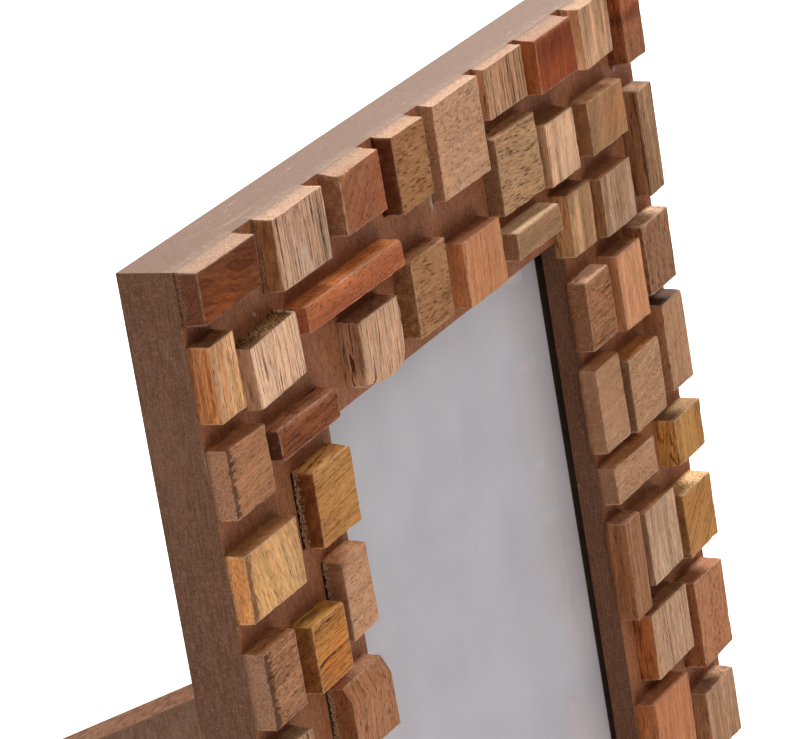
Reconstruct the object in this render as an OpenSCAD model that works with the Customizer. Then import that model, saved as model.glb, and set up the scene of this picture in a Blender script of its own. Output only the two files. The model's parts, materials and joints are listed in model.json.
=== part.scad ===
// Standing picture frame: a one-piece board with a mosaic of small wooden
// blocks on its front, a glazed 10 x 15 cm opening, a back panel held by
// four turn buttons, and a leg that swings out on a vertical hinge.
// Millimetres. +Z up, the front faces -Y, the frame stands on Z = 0.

/* [Board] */
// Width of the frame board
board_w = 170; // [150:1:200]
// Height of the frame board
board_h = 220; // [200:1:260]
// Thickness of the frame board
board_t = 10; // [10:0.5:12]
// Width of the border round the sight opening
border = 38.8; // [36:0.2:42]
// Depth of the lip in front of the glass
lip_t = 4.5; // [4:0.1:4.5]
// How far the lip reaches over the edge of the glass
lip_w = 5; // [4:0.5:6]

/* [Mosaic] */
// Height of a block of ordinary thickness above the board
relief = 4.5; // [3:0.1:6]

/* [Glazing and back] */
// Thickness of the glass
glass_t = 2; // [1.5:0.1:2]
// Thickness of the paper sheet behind the glass
insert_t = 0.3; // [0.2:0.1:0.3]
// Width of the paper sheet
insert_w = 95; // [94:0.5:98]
// Height of the paper sheet
insert_h = 148; // [148:0.5:149.5]
// How far the paper sheet lies askew, degrees
insert_turn = 0.5; // [0:0.1:0.7]
// Thickness of the back panel
panel_t = 3; // [2.5:0.1:3]
// Play of the glass and the panel in the rebate, each side
pane_play = 0.3; // [0.2:0.1:0.6]

/* [Stand] */
// How far the frame leans back, degrees
lean = 10; // [8:1:14]
// Angle between the folded and the open leg, degrees
leg_open = 75; // [60:1:80]
// Reach of the leg from its hinge axis
leg_reach = 80; // [72:1:83]
// Height of the leg's top corner at the hinge, above the board's lower edge
leg_top = 130; // [120:1:150]
// Slope of the leg's top edge, degrees
leg_slope = 19; // [12:1:24]
// Thickness of the leg
leg_t = 10; // [6:0.5:10]

/* [Hinge] */
// Length of the hinge
hinge_len = 50; // [40:1:60]
// Height of the middle of the hinge above the board's lower edge
hinge_mid = 92; // [80:1:100]
// Width of one hinge leaf, from the pin axis
leaf_w = 14; // [12:0.5:16]
// Thickness of the hinge leaves
leaf_t = 0.8; // [0.6:0.1:1]
// Outer radius of the knuckles
knuckle_r = 2.2; // [2.1:0.1:2.6]
// Radius of the hinge pin
pin_r = 1.1; // [0.9:0.1:1.1]
// Radial play between the pin and the turning knuckles
pin_play = 0.05; // [0.02:0.01:0.1]

/* [Turn buttons] */
// Length of a turn button
button_len = 21; // [19:0.5:23]
// Width of a turn button
button_w = 9; // [7:0.5:10]
// Thickness of a turn button
button_t = 1; // [0.8:0.1:1.2]
// Distance of the button screws from the board's side edges
button_inset = 28; // [26:0.5:29]
// Heights of the button screws above the board's lower edge
button_low = 66; // [60:1:80]
button_high = 156; // [140:1:165]

/* [Hidden] */
$fn = 48;

// colours
mdf_brown = [0.40, 0.27, 0.21];
steel = [0.72, 0.71, 0.68];
tones = [[0.45, 0.27, 0.17],   // 0 dark brown
         [0.82, 0.66, 0.50],   // 1 light tan with dark lines
         [0.66, 0.36, 0.22],   // 2 red brown
         [0.72, 0.54, 0.37],   // 3 tan with flecks
         [0.80, 0.58, 0.43],   // 4 pinkish tan
         [0.62, 0.45, 0.32],   // 5 mid brown
         [0.76, 0.52, 0.27],   // 6 golden
         [0.56, 0.43, 0.30],   // 7 olive tan
         [0.74, 0.50, 0.38]];  // 8 pinkish orange

// blocks: [left, right, top, bottom, height, turn, tone], measured from
// the board's top left corner, for a board 170 wide and 220 high
top_outer = [
  [0, 19.5, 0, 9, 4.5, 0, 0], [25.5, 43, 0, 12.5, 4, 0, 1],
  [48.5, 63, 0, 11, 4.2, 0, 2], [68, 80.5, 0, 14, 4, 0, 3],
  [85.5, 103.5, 0, 17.5, 2.9, 0, 4], [106.5, 122, 0, 9.5, 2.8, 0, 3],
  [124, 140, 0, 10.5, 4.4, 0, 2], [143, 155.5, 0, 11.5, 4.4, 0, 1],
  [160.5, 169.5, 0, 16, 4.1, 0, 2]];
top_middle = [
  [12, 28, 16, 27, 4.5, -4, 1], [31, 65.5, 16.5, 21.5, 4.5, 0, 2],
  [105, 121.5, 12, 26.5, 3.6, 0, 3], [123.5, 136, 15.5, 27.5, 4, 0, 4],
  [142, 158, 17, 27.5, 3.6, 0, 3]];
top_inner = [
  [46.5, 61, 24.5, 37, 4.5, 0, 1], [67.5, 81, 21.5, 35.5, 4, 1, 3],
  [86, 101, 24.5, 36.5, 4.3, 0, 8], [106, 124, 29.5, 35, 4.6, 0, 7]];
left_outer = [
  [0, 8.5, 12, 25, 4.3, 0, 1], [0, 13, 29, 41, 4, 0, 5],
  [0, 18, 46.5, 58.5, 3.8, 0, 6], [0, 11, 63, 76.5, 4.2, 0, 5],
  [0, 11, 80, 92, 4.3, 0, 5], [0, 14, 97, 108, 4.2, 0, 3],
  [0, 9, 112.5, 127, 4.6, 0, 1], [0, 16.5, 131.5, 142, 4.3, 0, 6],
  [0, 11, 147, 160, 4, 0, 2], [0, 18, 164.5, 172, 4.6, 0, 7],
  [0, 10.5, 176.5, 189, 4.4, 0, 4], [0, 9.5, 193.5, 205.5, 4.1, 0, 3]];
left_middle = [
  [16.5, 37, 32, 37.5, 4.1, 0, 0], [15.5, 27, 65, 77, 4.4, 0, 6],
  [13.5, 26, 112.5, 124, 4, 0, 4], [15.5, 27, 145, 158.5, 4.4, 0, 1],
  [14.5, 27, 179.5, 191, 4.1, 0, 5]];
left_inner = [
  [24, 37.5, 42, 55.5, 4.3, 0, 6], [28.5, 38, 59, 73.5, 4.3, 0, 3],
  [23, 37.5, 79, 91.5, 5, 0, 2], [19, 37, 96, 102.5, 4.6, 0, 5],
  [30, 37, 107, 122, 4.3, 0, 8], [21, 36.5, 128, 139.5, 4.9, 0, 3],
  [30.5, 37, 143.5, 159, 4.6, 0, 6], [22.5, 37, 163.5, 175.5, 4.2, 0, 1]];
right_outer = [
  [162, 169, 21, 41.5, 4.3, 0, 5], [156, 168, 45, 59, 4.2, 0, 5],
  [159, 169, 61.5, 79, 4.4, 0, 4], [157, 169.5, 83.5, 93, 4.5, 0, 6],
  [155.5, 169, 98, 111, 4.6, 0, 6], [155, 168.5, 115.5, 133, 4.7, 0, 2],
  [153.5, 167.5, 137.5, 151, 4.4, 0, 3], [151, 168, 155, 164, 4.6, 0, 1],
  [158.5, 168, 169, 183, 4.2, 0, 8], [160, 168.5, 187.5, 201, 4.5, 0, 5]];
right_middle = [
  [142.5, 156, 31.5, 43, 4, 0, 4], [143.5, 154.5, 46.5, 61.5, 4.5, 0, 8],
  [142, 156, 66, 80.5, 4.3, 0, 3], [139.5, 153.5, 95, 110, 4.3, 0, 5],
  [136, 152.5, 114, 127.5, 4.2, 0, 7], [144, 155, 168.5, 180, 4.4, 0, 6]];
right_inner = [
  [128, 138, 30, 42, 4.2, 0, 1], [130, 141, 47, 60.5, 4, 0, 5],
  [129.5, 140.5, 63.5, 80, 3.7, 0, 3], [131, 149, 83, 90.5, 3.9, 0, 1],
  [130.5, 137.5, 93.5, 113, 4.4, 0, 2], [131.5, 147.5, 130, 144, 4.5, 0, 2],
  [131, 146, 148, 161, 4.2, 0, 5], [131, 140.5, 165, 181, 4, 0, 3]];
bottom_outer = [
  [0, 15, 210, 220, 4.4, 0, 1], [19, 30.5, 209.5, 220, 4.2, 0, 2],
  [34.5, 52, 208.5, 220, 4.5, 0, 3], [56.5, 68, 201.5, 220, 4.6, 0, 5],
  [72.5, 86, 209, 220, 4, 0, 6], [90, 101.5, 202.5, 220, 4.5, 0, 8],
  [105.5, 122, 212, 220, 4.3, 0, 1], [126, 140.5, 210.5, 220, 4.6, 0, 0],
  [144, 156, 212.5, 220, 4.1, 0, 3], [160, 169, 205.5, 220, 4.4, 0, 2]];
bottom_middle = [
  [13.5, 26.5, 195.5, 205.5, 4.3, 0, 4], [30.5, 47, 199, 204.5, 4.6, 0, 0],
  [71.5, 86, 193.5, 205, 4.3, 0, 1], [105, 120.5, 198, 208, 4.6, 0, 3],
  [124.5, 138, 200.5, 206.5, 4.2, 0, 2], [142, 155.5, 199, 208.5, 4.4, 0, 6]];
bottom_inner = [
  [31, 45, 183.5, 195, 4.4, 0, 3], [49.5, 62, 184, 197, 4.7, 0, 6],
  [67, 86, 183, 189.5, 4.3, 0, 2], [90, 102, 184.5, 198, 4.5, 0, 5],
  [106.5, 120, 183.5, 194, 4.1, 0, 4], [124.5, 138, 185.5, 196.5, 4.6, 0, 1],
  [142, 155.5, 184.5, 195, 4.2, 0, 5]];

// levels across the thickness, front face of the board at y = 0
glass_back = lip_t + glass_t;
insert_back = glass_back + insert_t;
panel_back = insert_back + panel_t;
rebate_x = border - lip_w;
axis_x = board_w / 2;
axis_y = panel_back + knuckle_r;
hinge_z0 = hinge_mid - hinge_len / 2;
knuckle_gap = 0.25;
knuckle_len = (hinge_len - 4 * knuckle_gap) / 5;
rivet_z = [hinge_mid - hinge_len * 0.34, hinge_mid + hinge_len * 0.34];
screw_head_h = 0.7;
button_gap = 0.25;
button_pos = [[button_inset, button_high], [button_inset, button_low],
  [board_w - button_inset, button_high], [board_w - button_inset, button_low]];
button_y = board_t + button_gap;

// the frame stands on its rear lower edge and on the leg
foot_drop = board_t * sin(lean);
front_y = -4.6 * relief / 4.5 * cos(lean);
leg_corner_r = 4;
leg_corner_z = leg_top - (leg_reach - leg_corner_r) * tan(leg_slope)
  - leg_corner_r / cos(leg_slope);
out_y = sin(leg_open) * cos(lean);
back_y = (axis_y + (knuckle_r + leg_t) * cos(leg_open)) * cos(lean)
  + (leg_reach - leg_corner_r) * out_y + leg_corner_z * sin(lean)
  + leg_corner_r * sqrt(out_y * out_y + sin(lean) * sin(lean));
mid_y = (front_y + back_y) / 2;

// from the upright board (left lower front corner at 0,0,0) to the
// leaning frame on its base
module standing() {
  translate([-board_w / 2, -mid_y, foot_drop]) rotate([-lean, 0, 0]) children();
}

// hinge frame of the fixed leaf: pin axis on Z
module at_hinge() { translate([axis_x, axis_y, 0]) children(); }

// hinge frame of the leg: X runs out along the leg, -Y is its outer side
module at_leg() { at_hinge() rotate([0, 0, 180 - leg_open]) children(); }

module frame_board() {
  color(mdf_brown) standing() difference() {
    cube([board_w, board_t, board_h]);
    translate([border, -1, border])
      cube([board_w - 2 * border, board_t + 2, board_h - 2 * border]);
    translate([rebate_x, lip_t, rebate_x])
      cube([board_w - 2 * rebate_x, board_t, board_h - 2 * rebate_x]);
    for (p = button_pos) translate([p[0], board_t - 7.5, p[1]])
      rotate([-90, 0, 0]) cylinder(r = 1.25, h = 8);
  }
}

module block(b) {
  sx = board_w / 170;
  sz = board_h / 220;
  w = (b[1] - b[0]) * sx;
  h = (b[3] - b[2]) * sz;
  t = b[4] * relief / 4.5;
  color(tones[b[6]]) translate([(b[0] + b[1]) / 2 * sx, -t, board_h - (b[2] + b[3]) / 2 * sz])
    rotate([0, b[5], 0]) translate([-w / 2, 0, -h / 2]) cube([w, t, h]);
}

module block_row(row) { standing() for (b = row) block(b); }

module top_outer_blocks() { block_row(top_outer); }
module top_middle_blocks() { block_row(top_middle); }
module top_inner_blocks() { block_row(top_inner); }
module left_outer_blocks() { block_row(left_outer); }
module left_middle_blocks() { block_row(left_middle); }
module left_inner_blocks() { block_row(left_inner); }
module right_outer_blocks() { block_row(right_outer); }
module right_middle_blocks() { block_row(right_middle); }
module right_inner_blocks() { block_row(right_inner); }
module bottom_outer_blocks() { block_row(bottom_outer); }
module bottom_middle_blocks() { block_row(bottom_middle); }
module bottom_inner_blocks() { block_row(bottom_inner); }

// a sheet that lies in the rebate, from depth y0, of thickness t
module rebate_sheet(y0, t) {
  translate([rebate_x + pane_play, y0, rebate_x + pane_play])
    cube([board_w - 2 * (rebate_x + pane_play), t, board_h - 2 * (rebate_x + pane_play)]);
}

module glass_pane() {
  color([0.80, 0.88, 0.87, 0.35]) standing() rebate_sheet(lip_t, glass_t);
}

// the sheet is smaller than the rebate and lies a little askew in it
module photo_insert() {
  color([0.86, 0.86, 0.87]) standing()
    translate([rebate_x + 2.2, glass_back, rebate_x + 0.5])
      rotate([0, -insert_turn, 0]) cube([insert_w, insert_t, insert_h]);
}

module back_panel() {
  color([0.33, 0.23, 0.18]) standing() difference() {
    rebate_sheet(insert_back, panel_t);
    at_hinge() for (z = rivet_z) translate([-leaf_w * 0.62, -20, z])
      rotate([-90, 0, 0]) cylinder(r = 1.25, h = 40);
  }
}

// a pressed plate with round ends, turning on a screw near one end
module turn_button(p, turn) {
  r = button_w / 2;
  color(steel) standing() translate([p[0], button_y, p[1]])
    rotate([0, turn, 0]) rotate([-90, 0, 0]) difference() {
      union() {
        cylinder(r = r, h = button_t);
        translate([0, -r, 0]) cube([button_len - 2 * r, button_w, button_t]);
        translate([button_len - 2 * r, 0, 0]) cylinder(r = r, h = button_t);
      }
      translate([0, 0, -1]) cylinder(r = 1.55, h = button_t + 2);
    }
}

module turn_button_left_upper() { turn_button(button_pos[0], 0); }
module turn_button_left_lower() { turn_button(button_pos[1], 0); }
module turn_button_right_upper() { turn_button(button_pos[2], 180); }
module turn_button_right_lower() { turn_button(button_pos[3], 180); }

// head with a cross recess, head on +Z, underside at z = 0
module cross_head(r, h) {
  difference() {
    union() {
      cylinder(r = r, h = h * 0.55);
      translate([0, 0, h * 0.55]) cylinder(r1 = r, r2 = r * 0.72, h = h * 0.45);
    }
    for (a = [0, 90]) rotate([0, 0, a]) translate([-r * 0.62, -0.3, h * 0.45])
      cube([r * 1.24, 0.6, h]);
  }
}

module button_screws() {
  color(steel) standing() for (p = button_pos) translate([p[0], 0, p[1]])
    rotate([-90, 0, 0]) {
      translate([0, 0, board_t - 7]) cylinder(r = 1.2, h = 7);
      translate([0, 0, board_t]) cylinder(r = 1.5, h = button_t + 2 * button_gap);
      translate([0, 0, board_t + button_t + 2 * button_gap]) cross_head(2.9, 1.1);
    }
}

// outline of the leg in its own plane, X outwards, Y up, with a round
// outer top corner that is tangent to both edges
module leg_outline() {
  x0 = 2;
  xc = leg_reach - leg_corner_r;
  polygon([[x0, -5], [leg_reach, -5], [leg_reach, leg_corner_z],
    [xc + leg_corner_r * sin(leg_slope), leg_corner_z + leg_corner_r * cos(leg_slope)],
    [x0, leg_top - x0 * tan(leg_slope)]]);
  translate([xc, leg_corner_z]) circle(r = leg_corner_r);
}

module leg() {
  color(mdf_brown) difference() {
    standing() at_leg() difference() {
      translate([0, -knuckle_r, 0]) rotate([90, 0, 0]) linear_extrude(leg_t) leg_outline();
      for (z = rivet_z) translate([leaf_w * 0.62, -knuckle_r - 8, z])
        rotate([-90, 0, 0]) cylinder(r = 1.25, h = 20);
    }
    // foot cut level with the floor
    translate([-300, -300, -200]) cube([600, 600, 200]);
  }
}

// one leaf: plate on -X, knuckles where mine is true, bore radius b
module leaf(first, b) {
  difference() {
    union() {
      for (i = [0 : 4]) {
        z = hinge_z0 + i * (knuckle_len + knuckle_gap);
        if ((i + first) % 2 == 0) translate([0, 0, z]) {
          cylinder(r = knuckle_r, h = knuckle_len);
          translate([-leaf_w * 0.4, -knuckle_r, 0]) cube([leaf_w * 0.4, leaf_t, knuckle_len]);
        }
      }
      translate([-leaf_w, -knuckle_r, hinge_z0]) cube([leaf_w - knuckle_r - 0.5, leaf_t, hinge_len]);
    }
    translate([0, 0, hinge_z0 - 1]) cylinder(r = b, h = hinge_len + 2);
    for (z = rivet_z) translate([-leaf_w * 0.62, -20, z])
      rotate([-90, 0, 0]) cylinder(r = 1.25, h = 40);
  }
}

module hinge_leaf_panel() { color(steel) standing() at_hinge() leaf(0, pin_r); }

module hinge_leaf_leg() {
  color(steel) standing() at_leg() mirror([1, 0, 0]) leaf(1, pin_r + pin_play);
}

module hinge_pin() {
  color(steel) standing() at_hinge() {
    translate([0, 0, hinge_z0]) cylinder(r = pin_r, h = hinge_len);
    for (z = [hinge_z0 - 0.6, hinge_z0 + hinge_len]) translate([0, 0, z]) cylinder(r = pin_r + 0.5, h = 0.6);
  }
}

module hinge_rivets() {
  color(steel) standing() at_hinge() for (z = rivet_z)
    translate([-leaf_w * 0.62, -knuckle_r - panel_t, z]) rotate([-90, 0, 0]) {
      cylinder(r = 1.2, h = panel_t + leaf_t);
      translate([0, 0, panel_t + leaf_t]) {
        cylinder(r = 2.1, h = screw_head_h * 0.5);
        translate([0, 0, screw_head_h * 0.5]) cylinder(r1 = 2.1, r2 = 1.3, h = screw_head_h * 0.5);
      }
    }
}

module leg_screws() {
  color(steel) standing() at_leg() for (z = rivet_z)
    translate([leaf_w * 0.62, -knuckle_r - 7.5, z]) rotate([-90, 0, 0]) {
      cylinder(r = 1.2, h = 7.5 + leaf_t);
      translate([0, 0, 7.5 + leaf_t]) cross_head(2.1, screw_head_h);
    }
}

frame_board();
top_outer_blocks();
top_middle_blocks();
top_inner_blocks();
left_outer_blocks();
left_middle_blocks();
left_inner_blocks();
right_outer_blocks();
right_middle_blocks();
right_inner_blocks();
bottom_outer_blocks();
bottom_middle_blocks();
bottom_inner_blocks();
glass_pane();
photo_insert();
back_panel();
turn_button_left_upper();
turn_button_left_lower();
turn_button_right_upper();
turn_button_right_lower();
button_screws();
leg();
hinge_leaf_panel();
hinge_leaf_leg();
hinge_pin();
hinge_rivets();
leg_screws();
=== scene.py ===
import json
import math

import bmesh
import bpy
import numpy as np
from mathutils import Matrix, Vector

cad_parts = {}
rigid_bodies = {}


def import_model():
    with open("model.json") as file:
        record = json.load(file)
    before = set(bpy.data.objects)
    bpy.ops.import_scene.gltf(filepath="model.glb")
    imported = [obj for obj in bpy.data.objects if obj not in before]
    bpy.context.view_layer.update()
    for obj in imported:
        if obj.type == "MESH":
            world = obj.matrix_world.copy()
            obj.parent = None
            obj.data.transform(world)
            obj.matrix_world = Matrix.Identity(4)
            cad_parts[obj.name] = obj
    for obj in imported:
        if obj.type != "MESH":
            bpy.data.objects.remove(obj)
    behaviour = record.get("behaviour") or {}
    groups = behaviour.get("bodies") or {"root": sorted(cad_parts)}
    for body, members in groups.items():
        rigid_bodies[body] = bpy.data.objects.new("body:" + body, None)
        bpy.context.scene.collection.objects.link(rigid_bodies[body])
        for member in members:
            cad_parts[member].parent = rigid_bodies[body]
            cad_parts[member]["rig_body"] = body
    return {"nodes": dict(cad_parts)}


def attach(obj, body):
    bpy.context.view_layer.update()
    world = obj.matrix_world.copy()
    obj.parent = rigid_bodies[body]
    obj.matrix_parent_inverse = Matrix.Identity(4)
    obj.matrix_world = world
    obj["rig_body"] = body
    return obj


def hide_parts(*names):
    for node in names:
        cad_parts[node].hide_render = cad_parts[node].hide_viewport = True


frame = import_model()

scene = bpy.context.scene
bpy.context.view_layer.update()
NODES = frame["nodes"]

# ---------------------------------------------------------------- placing
# Board coordinates: millimetres, x from the left edge, y backwards from the
# front face, z up from the lower edge, with the board upright. The frame
# leans back by LEAN and stands on its rear lower edge.
LEAN = math.radians(10)
CO, SI = math.cos(LEAN), math.sin(LEAN)
BW, BH, BT = 170.0, 220.0, 10.0
MID_Y = 51.92782127
DROP = BT * SI


def to_world(p):
    """Board millimetres to world metres."""
    p = np.asarray(p, float).reshape(-1, 3)
    x, y, z = p[:, 0], p[:, 1], p[:, 2]
    return np.stack([x - BW / 2, y * CO + z * SI - MID_Y, -y * SI + z * CO + DROP], 1) * 0.001


def to_board(p):
    """World metres to board millimetres."""
    p = np.asarray(p, float).reshape(-1, 3) * 1000
    x, y, z = p[:, 0] + BW / 2, p[:, 1] + MID_Y, p[:, 2] - DROP
    return np.stack([x, y * CO - z * SI, y * SI + z * CO], 1)


# ---------------------------------------------------------------- noise
def hashed(ix, iy, iz, seed):
    h = (ix.astype(np.int64) * 374761393 + iy.astype(np.int64) * 668265263
         + iz.astype(np.int64) * 2147483647 + seed * 1274126177) & 0xFFFFFFFF
    h = ((h ^ (h >> 13)) * 1274126177) & 0xFFFFFFFF
    h = ((h ^ (h >> 16)) * 2246822519) & 0xFFFFFFFF
    return ((h ^ (h >> 15)) & 0xFFFFFF) / float(0xFFFFFF)


def vnoise(p, seed):
    """Smooth value noise from 0 to 1 with features one unit wide."""
    f = np.floor(p)
    t = p - f
    t = t * t * (3 - 2 * t)
    f = f.astype(np.int64)
    out = 0
    for i in (0, 1):
        for j in (0, 1):
            for k in (0, 1):
                w = (t[:, 0] if i else 1 - t[:, 0]) * (t[:, 1] if j else 1 - t[:, 1]) * (t[:, 2] if k else 1 - t[:, 2])
                out = out + w * hashed(f[:, 0] + i, f[:, 1] + j, f[:, 2] + k, seed)
    return out


# ---------------------------------------------------------------- nodes
def srgb(r, g, b):
    """A colour named by its 0 to 255 screen values, as linear light."""
    return tuple(((c / 255 + 0.055) / 1.055) ** 2.4 if c > 10 else c / 255 / 12.92 for c in (r, g, b))


class Tree:
    """Small helper that builds one material's nodes."""

    def __init__(self, name):
        self.mat = bpy.data.materials.new(name)
        self.mat.use_nodes = True
        self.nt = self.mat.node_tree
        self.nt.nodes.clear()
        self.out = self.nt.nodes.new("ShaderNodeOutputMaterial")

    def put(self, socket, value):
        if isinstance(value, bpy.types.NodeSocket):
            self.nt.links.new(value, socket)
        elif value is not None:
            if isinstance(value, (tuple, list)) and len(value) == 3 and len(socket.default_value) == 4:
                value = (*value, 1)
            socket.default_value = value

    def node(self, kind, props=None, **ins):
        n = self.nt.nodes.new(kind)
        for k, v in (props or {}).items():
            setattr(n, k, v)
        for k, v in ins.items():
            self.put(n.inputs[int(k[1:]) if k[0] == "i" and k[1:].isdigit() else k.replace("_", " ")], v)
        return n

    def math(self, op, a, b=None, c=None, clamp=False):
        n = self.node("ShaderNodeMath", {"operation": op, "use_clamp": clamp}, i0=a)
        if b is not None:
            self.put(n.inputs[1], b)
        if c is not None:
            self.put(n.inputs[2], c)
        return n.outputs[0]

    def add(self, a, b):
        return self.math("ADD", a, b)

    def mul(self, a, b, clamp=False):
        return self.math("MULTIPLY", a, b, clamp=clamp)

    def attr(self, name, out="Vector"):
        return self.node("ShaderNodeAttribute", {"attribute_type": "GEOMETRY", "attribute_name": name}).outputs[out]

    def split(self, v):
        return self.node("ShaderNodeSeparateXYZ", i0=v).outputs

    def join(self, x, y, z):
        return self.node("ShaderNodeCombineXYZ", i0=x, i1=y, i2=z).outputs[0]

    def vec(self, op, a, b=None):
        n = self.node("ShaderNodeVectorMath", {"operation": op}, i0=a)
        if b is not None:
            self.put(n.inputs[3] if op == "SCALE" else n.inputs[1], b)
        return n.outputs[0]

    def noise(self, v, scale=1.0, detail=2.0, rough=0.5, out="Fac", distortion=0.0):
        n = self.node("ShaderNodeTexNoise", {"noise_dimensions": "3D"})
        for k, x in (("Vector", v), ("Scale", scale), ("Detail", detail), ("Roughness", rough), ("Distortion", distortion)):
            self.put(n.inputs[k], x)
        return n.outputs["Fac" if out == "Fac" else "Color"]

    def cells(self, v, scale=1.0, rnd=1.0, feature="F1"):
        n = self.node("ShaderNodeTexVoronoi", {"voronoi_dimensions": "3D", "feature": feature})
        for k, x in (("Vector", v), ("Scale", scale), ("Randomness", rnd)):
            self.put(n.inputs[k], x)
        return n.outputs

    def span(self, v, a, b, lo=0.0, hi=1.0, smooth=False):
        n = self.node("ShaderNodeMapRange", {"clamp": True, "interpolation_type": "SMOOTHSTEP" if smooth else "LINEAR"})
        for k, x in ((0, v), (1, a), (2, b), (3, lo), (4, hi)):
            self.put(n.inputs[k], x)
        return n.outputs[0]

    def mix(self, f, a, b, kind="MIX"):
        n = self.node("ShaderNodeMix", {"data_type": "RGBA", "blend_type": kind, "clamp_factor": True})
        for k, x in ((0, f), (6, a), (7, b)):
            self.put(n.inputs[k], x)
        return n.outputs[2]

    def bump(self, height, distance, strength=1.0, normal=None):
        n = self.node("ShaderNodeBump")
        for k, x in (("Height", height), ("Distance", distance), ("Strength", strength), ("Normal", normal)):
            if x is not None:
                self.put(n.inputs[k], x)
        return n.outputs[0]

    def finish(self, **ins):
        n = self.node("ShaderNodeBsdfPrincipled")
        for k, v in ins.items():
            self.put(n.inputs[k.replace("_", " ")], v)
        self.nt.links.new(n.outputs[0], self.out.inputs[0])
        return n


# ---------------------------------------------------------------- wood of the mosaic
def mosaic_wood():
    """One sawn hardwood, driven by what each block stores on its mesh:
    gr  = coordinates in mm, z along the grain      ca, cb = light and dark colour
    pa  = (dark lines, flecks, curl)                pb = (lines per mm, fleck length, pale bloom)
    fx  = (closeness to an edge, side darkened by saw scorch and painted shade, end grain)   lo = (0..1 depth, fineness, polish)
    sd  = (sanded flush with a painted sheen, unsanded rim, white smear and painted arris highlight)   st = (streaks, streaks per mm, torn back edge)"""
    t = Tree("mosaic_wood")
    gr = t.attr("gr")
    ca, cb = t.attr("ca", "Color"), t.attr("cb", "Color")
    lines, flecks, curl = t.split(t.attr("pa"))
    pitch, fl, bloom = t.split(t.attr("pb"))
    edge, scorch_shade, endg = t.split(t.attr("fx"))
    depth, close, polish = t.split(t.attr("lo"))
    sand, rim, smear_and_highlight = t.split(t.attr("sd"))
    amp, wide, torn = t.split(t.attr("st"))

    # the grain wanders: gently on every block, strongly where it is curly
    w0 = t.vec("SUBTRACT", t.noise(t.vec("MULTIPLY", gr, (0.12, 0.12, 0.06)), 1.0, 2.0, 0.5, "Color"), (0.5, 0.5, 0.5))
    w1 = t.vec("SUBTRACT", t.noise(t.vec("MULTIPLY", gr, (0.55, 0.55, 0.30)), 1.0, 3.0, 0.55, "Color"), (0.5, 0.5, 0.5))
    warp = t.vec("ADD", t.vec("SCALE", w0, t.add(1.3, t.mul(curl, 6.0))), t.vec("SCALE", w1, t.add(0.18, t.mul(curl, 2.4))))
    p = t.vec("ADD", gr, warp)
    px, py, pz = t.split(p)

    def stretched(across, along):
        return t.vec("MULTIPLY", p, (across, across, along))

    # growth lines: thin, dark on one side, unequal in strength, at the block's own pitch
    drift = t.noise(stretched(0.30, 0.015), 1.0, 2.0, 0.5)
    crowd = t.noise(stretched(1.0, 0.03), 1.0, 1.0, 0.5)
    u = t.math("MULTIPLY_ADD", t.math("MULTIPLY_ADD", py, 0.45, px), pitch, t.math("MULTIPLY_ADD", crowd, 1.7, t.mul(drift, 3.0)))
    fr = t.math("FRACT", u)
    idn = t.node("ShaderNodeTexWhiteNoise", {"noise_dimensions": "1D"}, W=t.math("FLOOR", u)).outputs["Value"]
    rise = t.math("MULTIPLY", t.span(fr, 0.64, 0.88, smooth=True), t.span(fr, 0.99, 0.91))
    gaps = t.span(t.noise(stretched(1.2, 0.10), 1.0, 2.0, 0.6), 0.33, 0.55)
    l1 = t.mul(t.mul(rise, t.span(idn, 0.10, 0.95, 0.05, 1.0)), gaps)
    l2 = t.span(t.noise(t.join(t.mul(px, t.mul(pitch, 3.1)), t.mul(py, t.mul(pitch, 3.1)), t.mul(pz, 0.05)), 1.0, 1.0, 0.5), 0.52, 0.66)
    fine = t.noise(stretched(5.4, 0.42), 1.0, 2.5, 0.65)
    lite = t.noise(t.vec("ADD", stretched(4.0, 0.45), (9.0, 3.0, 7.0)), 1.0, 2.0, 0.6)
    # broad streaks, light and dark, that run the length of the block
    sway = t.noise(t.join(t.mul(px, wide), t.mul(py, wide), t.mul(pz, 0.035)), 1.0, 2.0, 0.55)
    sway = t.mul(t.span(sway, 0.34, 0.66, -1.0, 1.0), amp)
    broad = t.span(t.noise(stretched(0.42, 0.02), 1.0, 2.0, 0.6), 0.36, 0.64)
    cloud = t.span(t.noise(stretched(0.14, 0.09), 1.0, 2.0, 0.55), 0.32, 0.68)
    # open vessels: short thin dashes along the grain, dots on the end grain
    some = t.math("MULTIPLY", t.math("SUBTRACT", 1.0, flecks, clamp=True), 0.42)

    def dashes(across, along, off, keep):
        a = t.mul(close, across)
        c = t.cells(t.vec("ADD", t.join(t.mul(px, a), t.mul(py, a), t.mul(pz, t.math("DIVIDE", along, fl))), off))
        pick = t.math("SUBTRACT", t.split(c["Color"])[0], some)
        return t.mul(t.span(c["Distance"], 0.60, 0.16), t.span(pick, keep, keep + 0.20))

    vessel = t.math("MAXIMUM", dashes(3.2, 1.05, (0.0, 0.0, 0.0), 0.38), t.mul(dashes(4.8, 1.6, (17.0, 5.0, 9.0), 0.42), 0.8))
    vessel = t.mul(vessel, t.span(t.noise(stretched(0.5, 0.3), 1.0, 2.0, 0.5), 0.30, 0.58, 0.45, 1.0))
    pore = t.span(t.noise(t.join(t.mul(px, 5.6), t.mul(py, 5.6), t.mul(pz, 0.7)), 1.0, 1.0, 0.5), 0.60, 0.72)
    grit = t.noise(t.vec("SCALE", gr, 6.5), 1.0, 2.0, 0.7)

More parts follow.
